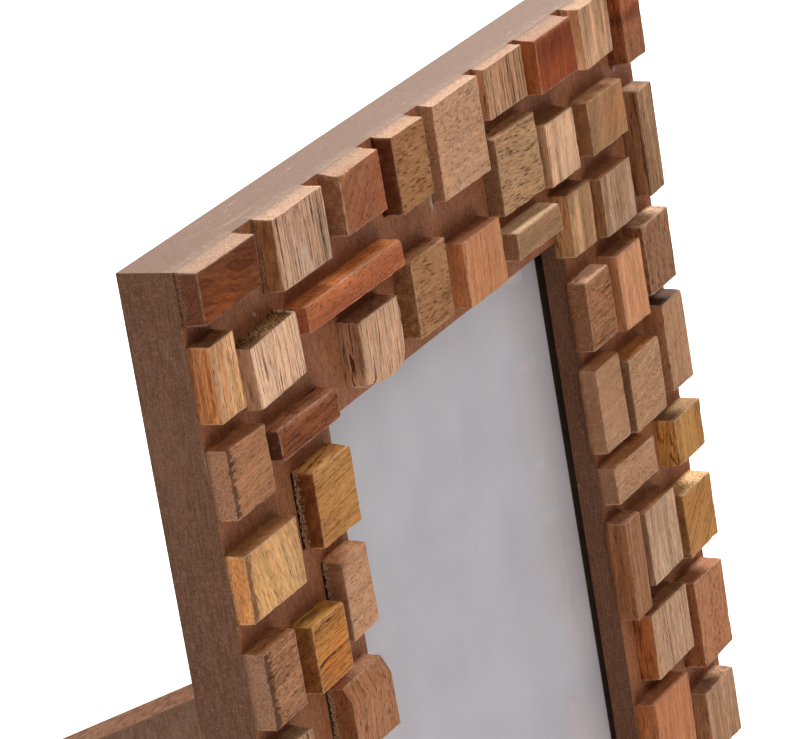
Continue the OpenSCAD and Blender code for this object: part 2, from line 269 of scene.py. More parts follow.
    dark = t.add(t.mul(lines, t.add(t.mul(l1, 1.35), t.mul(l2, 0.42))), t.mul(t.span(flecks, 0.0, 0.7), t.mul(vessel, 0.95)))
    dark = t.add(dark, t.mul(pore, 0.30))
    dark = t.add(dark, t.mul(t.span(fine, 0.36, 0.66), 0.50))
    dark = t.math("MULTIPLY_ADD", broad, t.add(0.14, t.mul(lines, 0.12)), dark)
    dark = t.math("ADD", dark, -0.26, clamp=True)
    col = t.mix(dark, ca, cb)
    col = t.mix(t.mul(t.span(lite, 0.55, 0.70), 0.35), col, t.vec("SCALE", ca, 1.30))
    # slow drift of colour and brightness over the block
    col = t.mix(t.mul(t.span(cloud, 0.0, 1.0, 1.0, 0.0), 0.35), col, t.mix(1.0, col, (0.84, 0.68, 0.50), "MULTIPLY"))
    val = t.node("ShaderNodeHueSaturation", Color=col, Value=t.math("MULTIPLY_ADD", sway, 0.42, t.math("MULTIPLY_ADD", t.span(grit, 0.3, 0.75), 0.26, 0.87))).outputs[0]
    # end grain: rougher, with a speckle of dust and dark pores
    spk = t.noise(t.vec("MULTIPLY", gr, (3.1, 3.1, 3.1)), 1.0, 3.0, 0.75)
    end = t.mix(t.span(spk, 0.50, 0.62), t.mix(0.15, val, (0.62, 0.50, 0.40)), t.mix(0.55, val, cb))
    val = t.mix(t.mul(endg, 0.70), val, end)
    # faces sanded flush with the board's edge: paler and greyer where sanding took
    # the finish off, with a painted sheen, and towards the board a ragged drift of the board's own dust
    ring = t.noise(t.vec("SCALE", gr, 0.8), 1.0, 3.0, 0.6)
    sanded_and_sheen = t.mix(0.80, t.mix(0.35, val, ca), t.mix(t.span(spk, 0.42, 0.60), srgb(186, 152, 127), srgb(146, 112, 88)))
    back = t.span(t.math("MULTIPLY_ADD", t.math("SUBTRACT", ring, 0.5), 1.1, depth), 0.42, 0.10)
    sanded_and_sheen = t.mix(t.mul(back, 0.85), sanded_and_sheen, t.mix(t.span(spk, 0.40, 0.62), srgb(150, 124, 106), srgb(134, 109, 93)))
    val = t.mix(sand, val, sanded_and_sheen)
    # sides darkened: saw scorch, and painted shade where neighbouring blocks and the row above shelter the left faces
    # and tops
    sc = t.mul(scorch_shade, t.span(t.noise(t.vec("MULTIPLY", gr, (0.7, 0.7, 0.25)), 1.0, 3.0, 0.6), 0.15, 0.55, 0.62, 1.0))
    burnt_and_shaded = t.mix(t.span(fine, 0.3, 0.7, 0.0, 0.55), srgb(84, 46, 26), srgb(50, 27, 15))
    val = t.mix(sc, val, t.mix(0.22, burnt_and_shaded, t.mix(1.0, val, (0.60, 0.42, 0.30), "MULTIPLY")))
    # a dark strip along the arris that the sanding missed, with teeth along the grain
    teeth = t.noise(stretched(2.2, 0.50), 1.0, 2.0, 0.6)
    rimn = t.span(t.math("MULTIPLY_ADD", t.math("SUBTRACT", teeth, 0.5), 1.5, rim), 0.42, 0.60)
    val = t.mix(t.mul(rimn, 0.78), val, t.mix(0.30, srgb(78, 42, 25), cb))
    # pale fuzz and wear on the arrises, broken up along them, which also paints the bright arris highlights
    brk = t.span(t.noise(t.vec("SCALE", gr, 0.85), 1.0, 3.0, 0.65), 0.36, 0.54)
    wear_and_highlight = t.mul(t.mul(t.span(edge, 0.35, 0.85), brk), t.math("MULTIPLY_ADD", bloom, 0.70, 0.35), clamp=True)
    pale = t.mix(0.50, t.vec("SCALE", ca, 1.35), (0.84, 0.66, 0.52))
    val = t.mix(wear_and_highlight, val, pale)
    # white dust left by sanding, in patches, and one smear of dried finish, which on two strips is a painted highlight
    # along the top arris
    dust = t.mul(t.mul(t.span(t.noise(t.vec("SCALE", gr, 0.33), 1.0, 4.0, 0.7), 0.60, 0.74), bloom), t.span(grit, 0.35, 0.6))
    val = t.mix(t.mul(dust, 0.28), val, (0.66, 0.58, 0.50))
    val = t.mix(t.mul(t.mul(smear_and_highlight, t.span(ring, 0.40, 0.62)), 0.80, clamp=True), val, (0.64, 0.56, 0.50))
    # darker towards the board at the bottom of the gaps: grime and glue, and painted contact shade
    low = t.mul(t.span(depth, 0.0, 0.25, 1.0, 0.0), t.math("SUBTRACT", 0.60, t.mul(sand, 0.60)))
    val = t.mix(low, val, t.mix(1.0, val, (0.40, 0.30, 0.24), "MULTIPLY"))
    # on some blocks a pale torn strip beside the board, with a painted black shadow line behind it
    jag = t.noise(t.vec("SCALE", gr, 1.7), 1.0, 3.0, 0.7)
    strip = t.mul(torn, t.span(t.math("MULTIPLY_ADD", t.math("SUBTRACT", jag, 0.5), 0.8, depth), 0.30, 0.24), clamp=True)
    val = t.mix(t.mul(strip, 0.9), val, t.mix(t.span(spk, 0.44, 0.60), srgb(200, 164, 128), srgb(104, 66, 42)))
    painted_gap_shadow = t.mul(torn, t.span(t.math("MULTIPLY_ADD", t.math("SUBTRACT", jag, 0.5), 0.40, depth), 0.12, 0.07), clamp=True)
    val = t.mix(painted_gap_shadow, val, srgb(26, 15, 10))
    chips = t.mix(t.span(spk, 0.46, 0.58), srgb(62, 36, 20), srgb(214, 158, 100))
    val = t.mix(t.mul(t.span(torn, 1.2, 1.6), 0.85), val, chips)

    h = t.math("MULTIPLY_ADD", t.mul(vessel, flecks), -0.28, t.mul(t.mul(l1, lines), -0.35))
    h = t.math("MULTIPLY_ADD", pore, -0.35, h)
    h = t.math("MULTIPLY_ADD", fine, 0.55, h)
    h = t.math("MULTIPLY_ADD", grit, 0.28, h)
    h = t.math("MULTIPLY_ADD", t.mul(spk, endg), 0.9, h)
    saw = t.noise(t.vec("MULTIPLY", gr, (0.4, 0.4, 1.9)), 1.0, 1.0, 0.5)
    h = t.math("MULTIPLY_ADD", saw, 0.22, h)
    nrm = t.bump(h, 0.00023, 1.0)
    rough = t.math("MULTIPLY_ADD", t.span(grit, 0.3, 0.7), 0.16, t.math("MULTIPLY_ADD", polish, -0.18, 0.66))
    t.finish(Base_Color=val, Roughness=rough, Normal=nrm, Specular_IOR_Level=0.08)
    return t.mat


def stained_mdf(name, tint=(1.0, 1.0, 1.0), worn=1.0, runs=(), gloss=0.20):
    """Brown-stained MDF: an even, close-grained board with specks, faint wiped
    marks and a few scratches. ls = coordinates in mm with z along the wiping,
    fx = (closeness to an edge, raw cut band, painted shade), fc = (front with more stain and painted bounced light, top
    with dust and painted sheen, 0).
    runs = stretches of the top edge, in mm, where pale dust lies beside the blocks."""
    t = Tree(name)
    ls = t.attr("ls")
    edge, cut, painted_shade = t.split(t.attr("fx"))

    def q(a, b):
        return t.vec("MULTIPLY", ls, (a, a, b))

    wipe = t.noise(q(0.30, 0.018), 1.0, 3.0, 0.6)
    hair = t.noise(q(2.8, 0.30), 1.0, 3.0, 0.65)
    blotch = t.noise(q(0.055, 0.040), 1.0, 4.0, 0.6)
    grit = t.noise(t.vec("SCALE", ls, 3.4), 1.0, 3.0, 0.75)
    fibre = t.noise(t.vec("SCALE", ls, 1.15), 1.0, 3.0, 0.7)
    base, dark, light = (tuple(c * k for c, k in zip(srgb(*v), tint)) for v in ((124, 80, 55), (92, 56, 37), (152, 106, 78)))
    stain_and_bounce, dust_and_sheen, _ = t.split(t.attr("fc"))
    col = t.mix(t.span(wipe, 0.30, 0.70), t.mix(0.40, base, dark), base)
    col = t.mix(t.mul(t.span(blotch, 0.42, 0.70), 0.35), col, light)
    col = t.mix(t.mul(t.span(grit, 0.49, 0.62), 0.55), col, light)
    col = t.mix(t.mul(t.span(grit, 0.49, 0.36), 0.55), col, dark)
    col = t.mix(t.mul(t.span(t.noise(t.vec("SCALE", ls, 2.1), 1.0, 2.0, 0.6), 0.52, 0.66), 0.35), col, srgb(150, 118, 88))
    col = t.mix(t.mul(t.span(fibre, 0.50, 0.70), 0.40), col, dark)
    col = t.mix(t.mul(t.span(fibre, 0.46, 0.28), 0.30), col, light)
    calm = t.math("MULTIPLY_ADD", dust_and_sheen, -0.42, 0.55)
    col = t.mix(t.mul(t.span(hair, 0.52, 0.68), calm), col, light)
    col = t.mix(t.mul(t.span(hair, 0.46, 0.32), calm), col, dark)
    # the front is painted brighter and redder: more stain, and painted warm light bounced from the blocks. The top is
    # greyer: dust and a painted sheen
    col = t.mix(stain_and_bounce, col, t.mix(1.0, col, (1.92, 1.66, 1.42), "MULTIPLY"))
    col = t.mix(t.mul(dust_and_sheen, t.span(grit, 0.34, 0.60, 0.40, 0.88)), col, srgb(115, 93, 79))
    col = t.mix(t.mul(dust_and_sheen, t.span(t.noise(t.vec("SCALE", ls, 2.2), 1.0, 2.0, 0.7), 0.50, 0.64, 0.0, 0.30)), col, srgb(86, 66, 54))
    if runs:
        # on the top edge ls holds y + 91 and x + 637
        lx, _, lz = t.split(ls)
        drift = t.math("SUBTRACT", t.noise(t.vec("SCALE", ls, 0.9), 1.0, 3.0, 0.65), 0.5)
        n = t.node("ShaderNodeValToRGB", Fac=t.math("MULTIPLY", t.math("ADD", lz, t.math("MULTIPLY_ADD", drift, 3.0, -637.0)), 1 / BW))
        n.color_ramp.interpolation = "CONSTANT"
        el = n.color_ramp.elements
        el.remove(el[1])
        el[0].position, el[0].color = 0.0, (1, 1, 1, 1)
        for a, b in runs:
            if a > 0.5:
                el.new(a / BW).color = (1, 1, 1, 1)
            el.new(b / BW).color = (0, 0, 0, 1)
        near = t.span(t.math("MULTIPLY_ADD", drift, 7.0, t.math("SUBTRACT", lx, 91.0)), 0.2, 2.2, 1.0, 0.0)
        near = t.mul(t.mul(near, dust_and_sheen), n.outputs["Color"])
        col = t.mix(t.mul(near, t.span(grit, 0.34, 0.60, 0.10, 0.60)), col, srgb(146, 120, 101))
    # pin-head specks, pale and dark
    sp = t.cells(t.vec("MULTIPLY", ls, (1.0, 1.0, 0.7)), 1.0)
    dots = t.mul(t.span(sp["Distance"], 0.14, 0.05), t.span(t.split(sp["Color"])[0], 0.76, 0.80))
    col = t.mix(t.mul(dots, 0.42), col, srgb(200, 174, 152))
    sp2 = t.cells(t.vec("ADD", ls, (31.0, 17.0, 5.0)), 0.8)
    dots2 = t.mul(t.span(sp2["Distance"], 0.16, 0.06), t.span(t.split(sp2["Color"])[1], 0.60, 0.64))
    col = t.mix(t.mul(dots2, 0.50), col, srgb(58, 36, 27))
    # a few long scratches
    s = t.noise(t.vec("MULTIPLY", ls, (0.8, 0.8, 0.03)), 1.0, 1.0, 0.4)
    scr = t.mul(t.span(t.math("ABSOLUTE", t.math("SUBTRACT", s, 0.5)), 0.006, 0.0), t.span(blotch, 0.50, 0.62))
    col = t.mix(t.mul(scr, 0.50), col, srgb(196, 164, 140))
    # raw cut faces: coarse, paler, with torn fibres
    torn = t.span(t.noise(t.vec("MULTIPLY", ls, (1.4, 1.4, 0.7)), 1.0, 4.0, 0.75), 0.36, 0.66)
    rawc = t.mix(torn, srgb(74, 46, 31), srgb(119, 82, 60))
    col = t.mix(t.mul(cut, 0.85), col, rawc)
    # the stain is thin on the arrises
    brk = t.span(t.noise(t.vec("SCALE", ls, 0.42), 1.0, 4.0, 0.65), 0.36, 0.62, 0.15, 1.0)
    wr = t.mul(t.mul(t.span(edge, 0.30, 0.95), brk), 0.45 * worn)
    col = t.mix(wr, col, srgb(190, 150, 122))
    # painted shade: darker inside the opening and the rebate, near black on the panel's front behind the glass
    col = t.mix(t.mul(painted_shade, 0.45), col, t.mix(1.0, col, (0.40, 0.30, 0.25), "MULTIPLY"))
    col = t.mix(t.span(painted_shade, 1.2, 1.8), col, srgb(32, 26, 22))
    h = t.math("MULTIPLY_ADD", hair, 0.25, t.mul(fibre, 0.6))
    h = t.math("MULTIPLY_ADD", grit, 0.55, h)
    h = t.math("MULTIPLY_ADD", scr, -0.5, h)
    h = t.math("MULTIPLY_ADD", t.mul(torn, cut), 2.2, h)
    nrm = t.bump(h, 0.00011, 0.75)
    rough = t.math("MULTIPLY_ADD", t.span(grit, 0.3, 0.7), 0.14, t.math("MULTIPLY_ADD", cut, 0.16, 0.48))
    t.finish(Base_Color=col, Roughness=rough, Normal=nrm, Specular_IOR_Level=gloss)
    return t.mat


def metal(name, base, dark, rough0, streak=1.0, grime=0.35):
    """Plated pressed steel: fine drawing lines, dull spots, patches of grime."""
    t = Tree(name)
    tc = t.node("ShaderNodeTexCoord").outputs["Object"]
    mm = t.vec("SCALE", tc, 1000.0)
    lines = t.noise(t.vec("MULTIPLY", mm, (9.0, 9.0, 0.5)), 1.0, 2.0, 0.6)
    spots = t.noise(t.vec("SCALE", mm, 0.9), 1.0, 4.0, 0.65)
    fine = t.noise(t.vec("SCALE", mm, 9.0), 1.0, 2.0, 0.6)
    col = t.mix(t.mul(t.span(spots, 0.50, 0.72), grime), base, dark)
    col = t.mix(t.mul(t.span(lines, 0.45, 0.75), 0.25 * streak), col, dark)
    rough = t.add(t.math("MULTIPLY_ADD", t.span(spots, 0.4, 0.7), 0.22, rough0), t.mul(t.span(fine, 0.3, 0.7), 0.08))
    h = t.math("MULTIPLY_ADD", lines, 0.5 * streak, t.mul(fine, 0.5))
    nrm = t.bump(h, 0.00003, 0.6)
    t.finish(Base_Color=col, Metallic=1.0, Roughness=rough, Normal=nrm)
    return t.mat


def paper():
    t = Tree("insert_paper")
    ls = t.attr("ls")
    cloud = t.noise(t.vec("SCALE", ls, 0.06), 1.0, 3.0, 0.55)
    fibre = t.noise(t.vec("SCALE", ls, 2.8), 1.0, 3.0, 0.7)
    a, b = srgb(229, 222, 226), srgb(220, 213, 217)
    col = t.mix(t.span(cloud, 0.35, 0.65), a, b)
    col = t.mix(t.mul(t.span(fibre, 0.4, 0.7), 0.10), col, srgb(203, 196, 201))
    sp = t.cells(ls, 0.16)
    dots = t.mul(t.span(sp["Distance"], 0.05, 0.025), t.span(t.split(sp["Color"])[0], 0.55, 0.60))
    col = t.mix(t.mul(dots, 0.42), col, srgb(150, 148, 154))
    nrm = t.bump(t.math("MULTIPLY_ADD", fibre, 0.6, t.mul(cloud, 0.8)), 0.00006, 0.35)
    t.finish(Base_Color=col, Roughness=t.span(fibre, 0.3, 0.7, 0.62, 0.78), Normal=nrm, Specular_IOR_Level=0.3)
    return t.mat


def glass():
    """Float glass. Lamps and scattered light shine straight through it, so that it casts no shadow."""
    t = Tree("glass")
    n = t.node("ShaderNodeBsdfPrincipled")
    for k, v in (("Base Color", (0.98, 0.985, 0.985, 1)), ("Roughness", 0.0), ("IOR", 1.5), ("Transmission Weight", 1.0),
                 ("Specular IOR Level", 0.5)):
        n.inputs[k].default_value = v
    clear = t.node("ShaderNodeBsdfTransparent", Color=(0.96, 0.965, 0.965))
    lp = t.node("ShaderNodeLightPath")
    soft = t.node("ShaderNodeMixShader", i0=lp.outputs["Is Diffuse Ray"], i1=n.outputs[0], i2=clear.outputs[0])
    m = t.node("ShaderNodeMixShader", i0=lp.outputs["Is Shadow Ray"], i1=soft.outputs[0], i2=clear.outputs[0])
    t.nt.links.new(m.outputs[0], t.out.inputs[0])
    return t.mat


def glue():
    t = Tree("dry_glue")
    mm = t.vec("SCALE", t.node("ShaderNodeTexCoord").outputs["Object"], 1000.0)
    n = t.noise(mm, 0.9, 3.0, 0.6)
    col = t.mix(t.span(n, 0.35, 0.65), srgb(196, 178, 164), srgb(158, 136, 120))
    t.finish(Base_Color=col, Roughness=t.span(n, 0.3, 0.7, 0.18, 0.38), Normal=t.bump(n, 0.0001, 0.5),
             Subsurface_Weight=0.15, Subsurface_Radius=(0.4, 0.4, 0.4), Subsurface_Scale=0.001)
    return t.mat


def floor_paint():
    t = Tree("studio_floor")
    mm = t.node("ShaderNodeTexCoord").outputs["Object"]
    n = t.noise(mm, 6.0, 2.0, 0.5)
    col = t.mix(n, (0.90, 0.90, 0.90), (0.93, 0.93, 0.93))
    pale = t.finish(Base_Color=col, Roughness=0.9, Specular_IOR_Level=0.1)
    # painted dim reflection: glossy rays see the floor as dark grey, which takes most of the floor out of the
    # reflections
    dim = t.node("ShaderNodeBsdfDiffuse", Color=(0.05, 0.05, 0.05))
    lp = t.node("ShaderNodeLightPath")
    m = t.node("ShaderNodeMixShader", i0=lp.outputs["Is Glossy Ray"], i1=pale.outputs[0], i2=dim.outputs[0])
    t.nt.links.new(m.outputs[0], t.out.inputs[0])
    return t.mat


WOOD = mosaic_wood()
MDF = stained_mdf("stained_mdf", tint=(0.88, 0.88, 0.88), runs=[(0, 19.5), (25.5, 43), (48.5, 63), (68, 80.5), (85.5, 103.5), (106.5, 122),
                                       (124, 140), (143, 155.5), (160.5, 169.5)])
MDF_LEG = stained_mdf("leg_mdf", tint=(1.40, 1.70, 2.00))
MDF_RAW = stained_mdf("raw_cut_mdf", tint=(0.70, 0.60, 0.53), worn=0.4, gloss=0.03)
MDF_BACK = stained_mdf("panel_mdf", tint=(0.72, 0.70, 0.70), worn=0.5)
STEEL = metal("zinc_steel", (0.70, 0.69, 0.66), (0.34, 0.32, 0.29), 0.26)
HINGE = metal("hinge_steel", (0.62, 0.54, 0.36), (0.26, 0.20, 0.12), 0.24)
PAPER, GLASS, GLUE = paper(), glass(), glue()


# ---------------------------------------------------------------- meshes
def new_object(name, verts_mm, faces, mats, body, nodes=(), smooth=True, world=True):
    me = bpy.data.meshes.new(name)
    co = to_world(verts_mm) if world else np.asarray(verts_mm) * 0.001
    me.from_pydata([tuple(v) for v in co], [], faces)
    me.validate()
    ob = bpy.data.objects.new(name, me)
    scene.collection.objects.link(ob)
    for m in mats:
        me.materials.append(m)
    me.polygons.foreach_set("use_smooth", [smooth] * len(me.polygons))
    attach(ob, body)
    if nodes:
        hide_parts(*nodes)
    return ob


def store(me, name, values, domain="POINT"):
    values = np.asarray(values, np.float32)
    kind = "FLOAT_VECTOR" if values.shape[1] == 3 else "FLOAT_COLOR"
    a = me.attributes.new(name, kind, domain)
    a.data.foreach_set("vector" if kind == "FLOAT_VECTOR" else "color", values.ravel())


def lattice(gx, gy, gz):
    """The shell of a grid of points: positions, quads and the (i, j, k) of each point.
    gx, gy and gz are rising lists. Quads face outwards."""
    nx, ny, nz = len(gx), len(gy), len(gz)
    quads = []

    def sheet(axis, at, flip):
        a, b = [x for x in (0, 1, 2) if x != axis]
        n = (nx, ny, nz)
        ia, ib = np.meshgrid(np.arange(n[a] - 1), np.arange(n[b] - 1), indexing="ij")
        ia, ib = ia.ravel(), ib.ravel()
        c = []
        for da, db in ((0, 0), (1, 0), (1, 1), (0, 1)):
            ijk = np.zeros((len(ia), 3), np.int64)
            ijk[:, axis] = at
            ijk[:, a] = ia + da
            ijk[:, b] = ib + db
            c.append(ijk[:, 0] * 1000000 + ijk[:, 1] * 1000 + ijk[:, 2])
        q = np.stack(c, 1)
        quads.append(q[:, ::-1] if flip else q)

    # with a < b the corners turn from a to b: that faces +axis for axis 0 and 2, and -axis for axis 1
    sheet(0, nx - 1, False)
    sheet(0, 0, True)
    sheet(1, ny - 1, True)
    sheet(1, 0, False)
    sheet(2, nz - 1, False)
    sheet(2, 0, True)
    q = np.concatenate(quads)
    codes, inv = np.unique(q.ravel(), return_inverse=True)
    faces = inv.reshape(-1, 4)
    i, j, k = codes // 1000000, codes // 1000 % 1000, codes % 1000
    pos = np.stack([np.asarray(gx)[i], np.asarray(gy)[j], np.asarray(gz)[k]], 1)
    return pos, faces


def steps(length, cell, both=True):
    """Grid lines from 0 to length, close together at the ends."""
    near = [0.0, 0.10, 0.24, 0.44, 0.72]
    near = [v for v in near if v < length * 0.4]
    a = near[-1]
    b = length - a if both else length
    n = max(2, int(round((b - a) / cell)))
    mid = list(np.linspace(a, b, n + 1))[1:-1]
    return near + mid + ([length - v for v in near[::-1]] if both else [length])


# looks of the blocks: light colour, dark colour, dark lines, flecks, curl, lines per mm, fleck length
KINDS = {
    "zebra":   (srgb(236, 188, 152), srgb(92, 52, 34), 0.95, 0.10, 0.02, 0.82, 2.4),
    "pale":    (srgb(230, 182, 144), srgb(150, 100, 68), 0.50, 0.30, 0.04, 0.90, 1.8),
    "rosy":    (srgb(206, 142, 100), srgb(122, 68, 42), 0.25, 0.70, 0.05, 0.80, 1.2),
    "redfleck": (srgb(188, 110, 70), srgb(112, 54, 30), 0.25, 1.00, 0.12, 0.90, 1.2),
    "tanfleck": (srgb(206, 152, 106), srgb(106, 62, 35), 0.25, 1.00, 0.08, 0.80, 1.4),
    "pinkfleck": (srgb(214, 160, 120), srgb(138, 88, 58), 0.20, 0.60, 0.06, 0.80, 1.4),
    "curly":   (srgb(146, 88, 48), srgb(74, 42, 23), 0.22, 0.35, 0.55, 0.80, 2.6),
    "dashes":  (srgb(216, 164, 116), srgb(118, 72, 42), 0.12, 1.00, 0.22, 0.80, 3.4),
    "goldfleck": (srgb(236, 184, 126), srgb(166, 106, 62), 0.30, 0.80, 0.08, 1.00, 2.2),
    "redplain": (srgb(166, 84, 44), srgb(96, 42, 20), 0.40, 0.50, 0.10, 0.90, 1.8),
    "orange":  (srgb(222, 146, 98), srgb(152, 84, 48), 0.30, 0.35, 0.05, 0.80, 1.6),
    "honey":   (srgb(236, 182, 132), srgb(146, 88, 48), 0.80, 0.45, 0.10, 1.00, 2.0),
    "golden":  (srgb(214, 152, 84), srgb(122, 70, 30), 0.70, 0.35, 0.10, 1.10, 1.8),
    "goldline": (srgb(204, 134, 66), srgb(92, 48, 20), 0.90, 0.40, 0.05, 1.20, 2.4),
    "brown":   (srgb(186, 128, 88), srgb(86, 48, 28), 0.40, 0.90, 0.08, 0.90, 1.6),
    "greytan": (srgb(204, 158, 122), srgb(112, 74, 50), 0.70, 0.40, 0.05, 0.80, 2.0),
    "umber":   (srgb(136, 82, 50), srgb(68, 37, 21), 0.60, 0.70, 0.15, 1.00, 2.2),
    "crinkle": (srgb(208, 158, 118), srgb(112, 72, 46), 0.15, 0.90, 0.70, 0.80, 1.0),
    "tanplain": (srgb(206, 152, 106), srgb(132, 86, 56), 0.25, 0.35, 0.10, 0.80, 1.6),
    "olive":   (srgb(180, 134, 86), srgb(84, 54, 30), 0.80, 0.40, 0.08, 1.10, 2.0),
}

# how one face of a block differs from the rest of it: factors on its colour. On the tops (tc) and left faces (lc) they
# paint light and shade along with the wood's own tone: paler where light reaches a face, darker where the row above
# shades it
DARK, DIM, LIFT, BRIGHT = (0.50, 0.38, 0.22), (0.75, 0.62, 0.44), (1.30, 1.35, 1.40), (1.70, 2.00, 2.30)
PALE, AMBER, GLOW, RUST, OLIVE = (2.4, 3.2, 4.0), (1.25, 0.95, 0.70), (1.5, 1.15, 0.75), (0.85, 0.62, 0.45), (1.3, 1.8, 1.9)

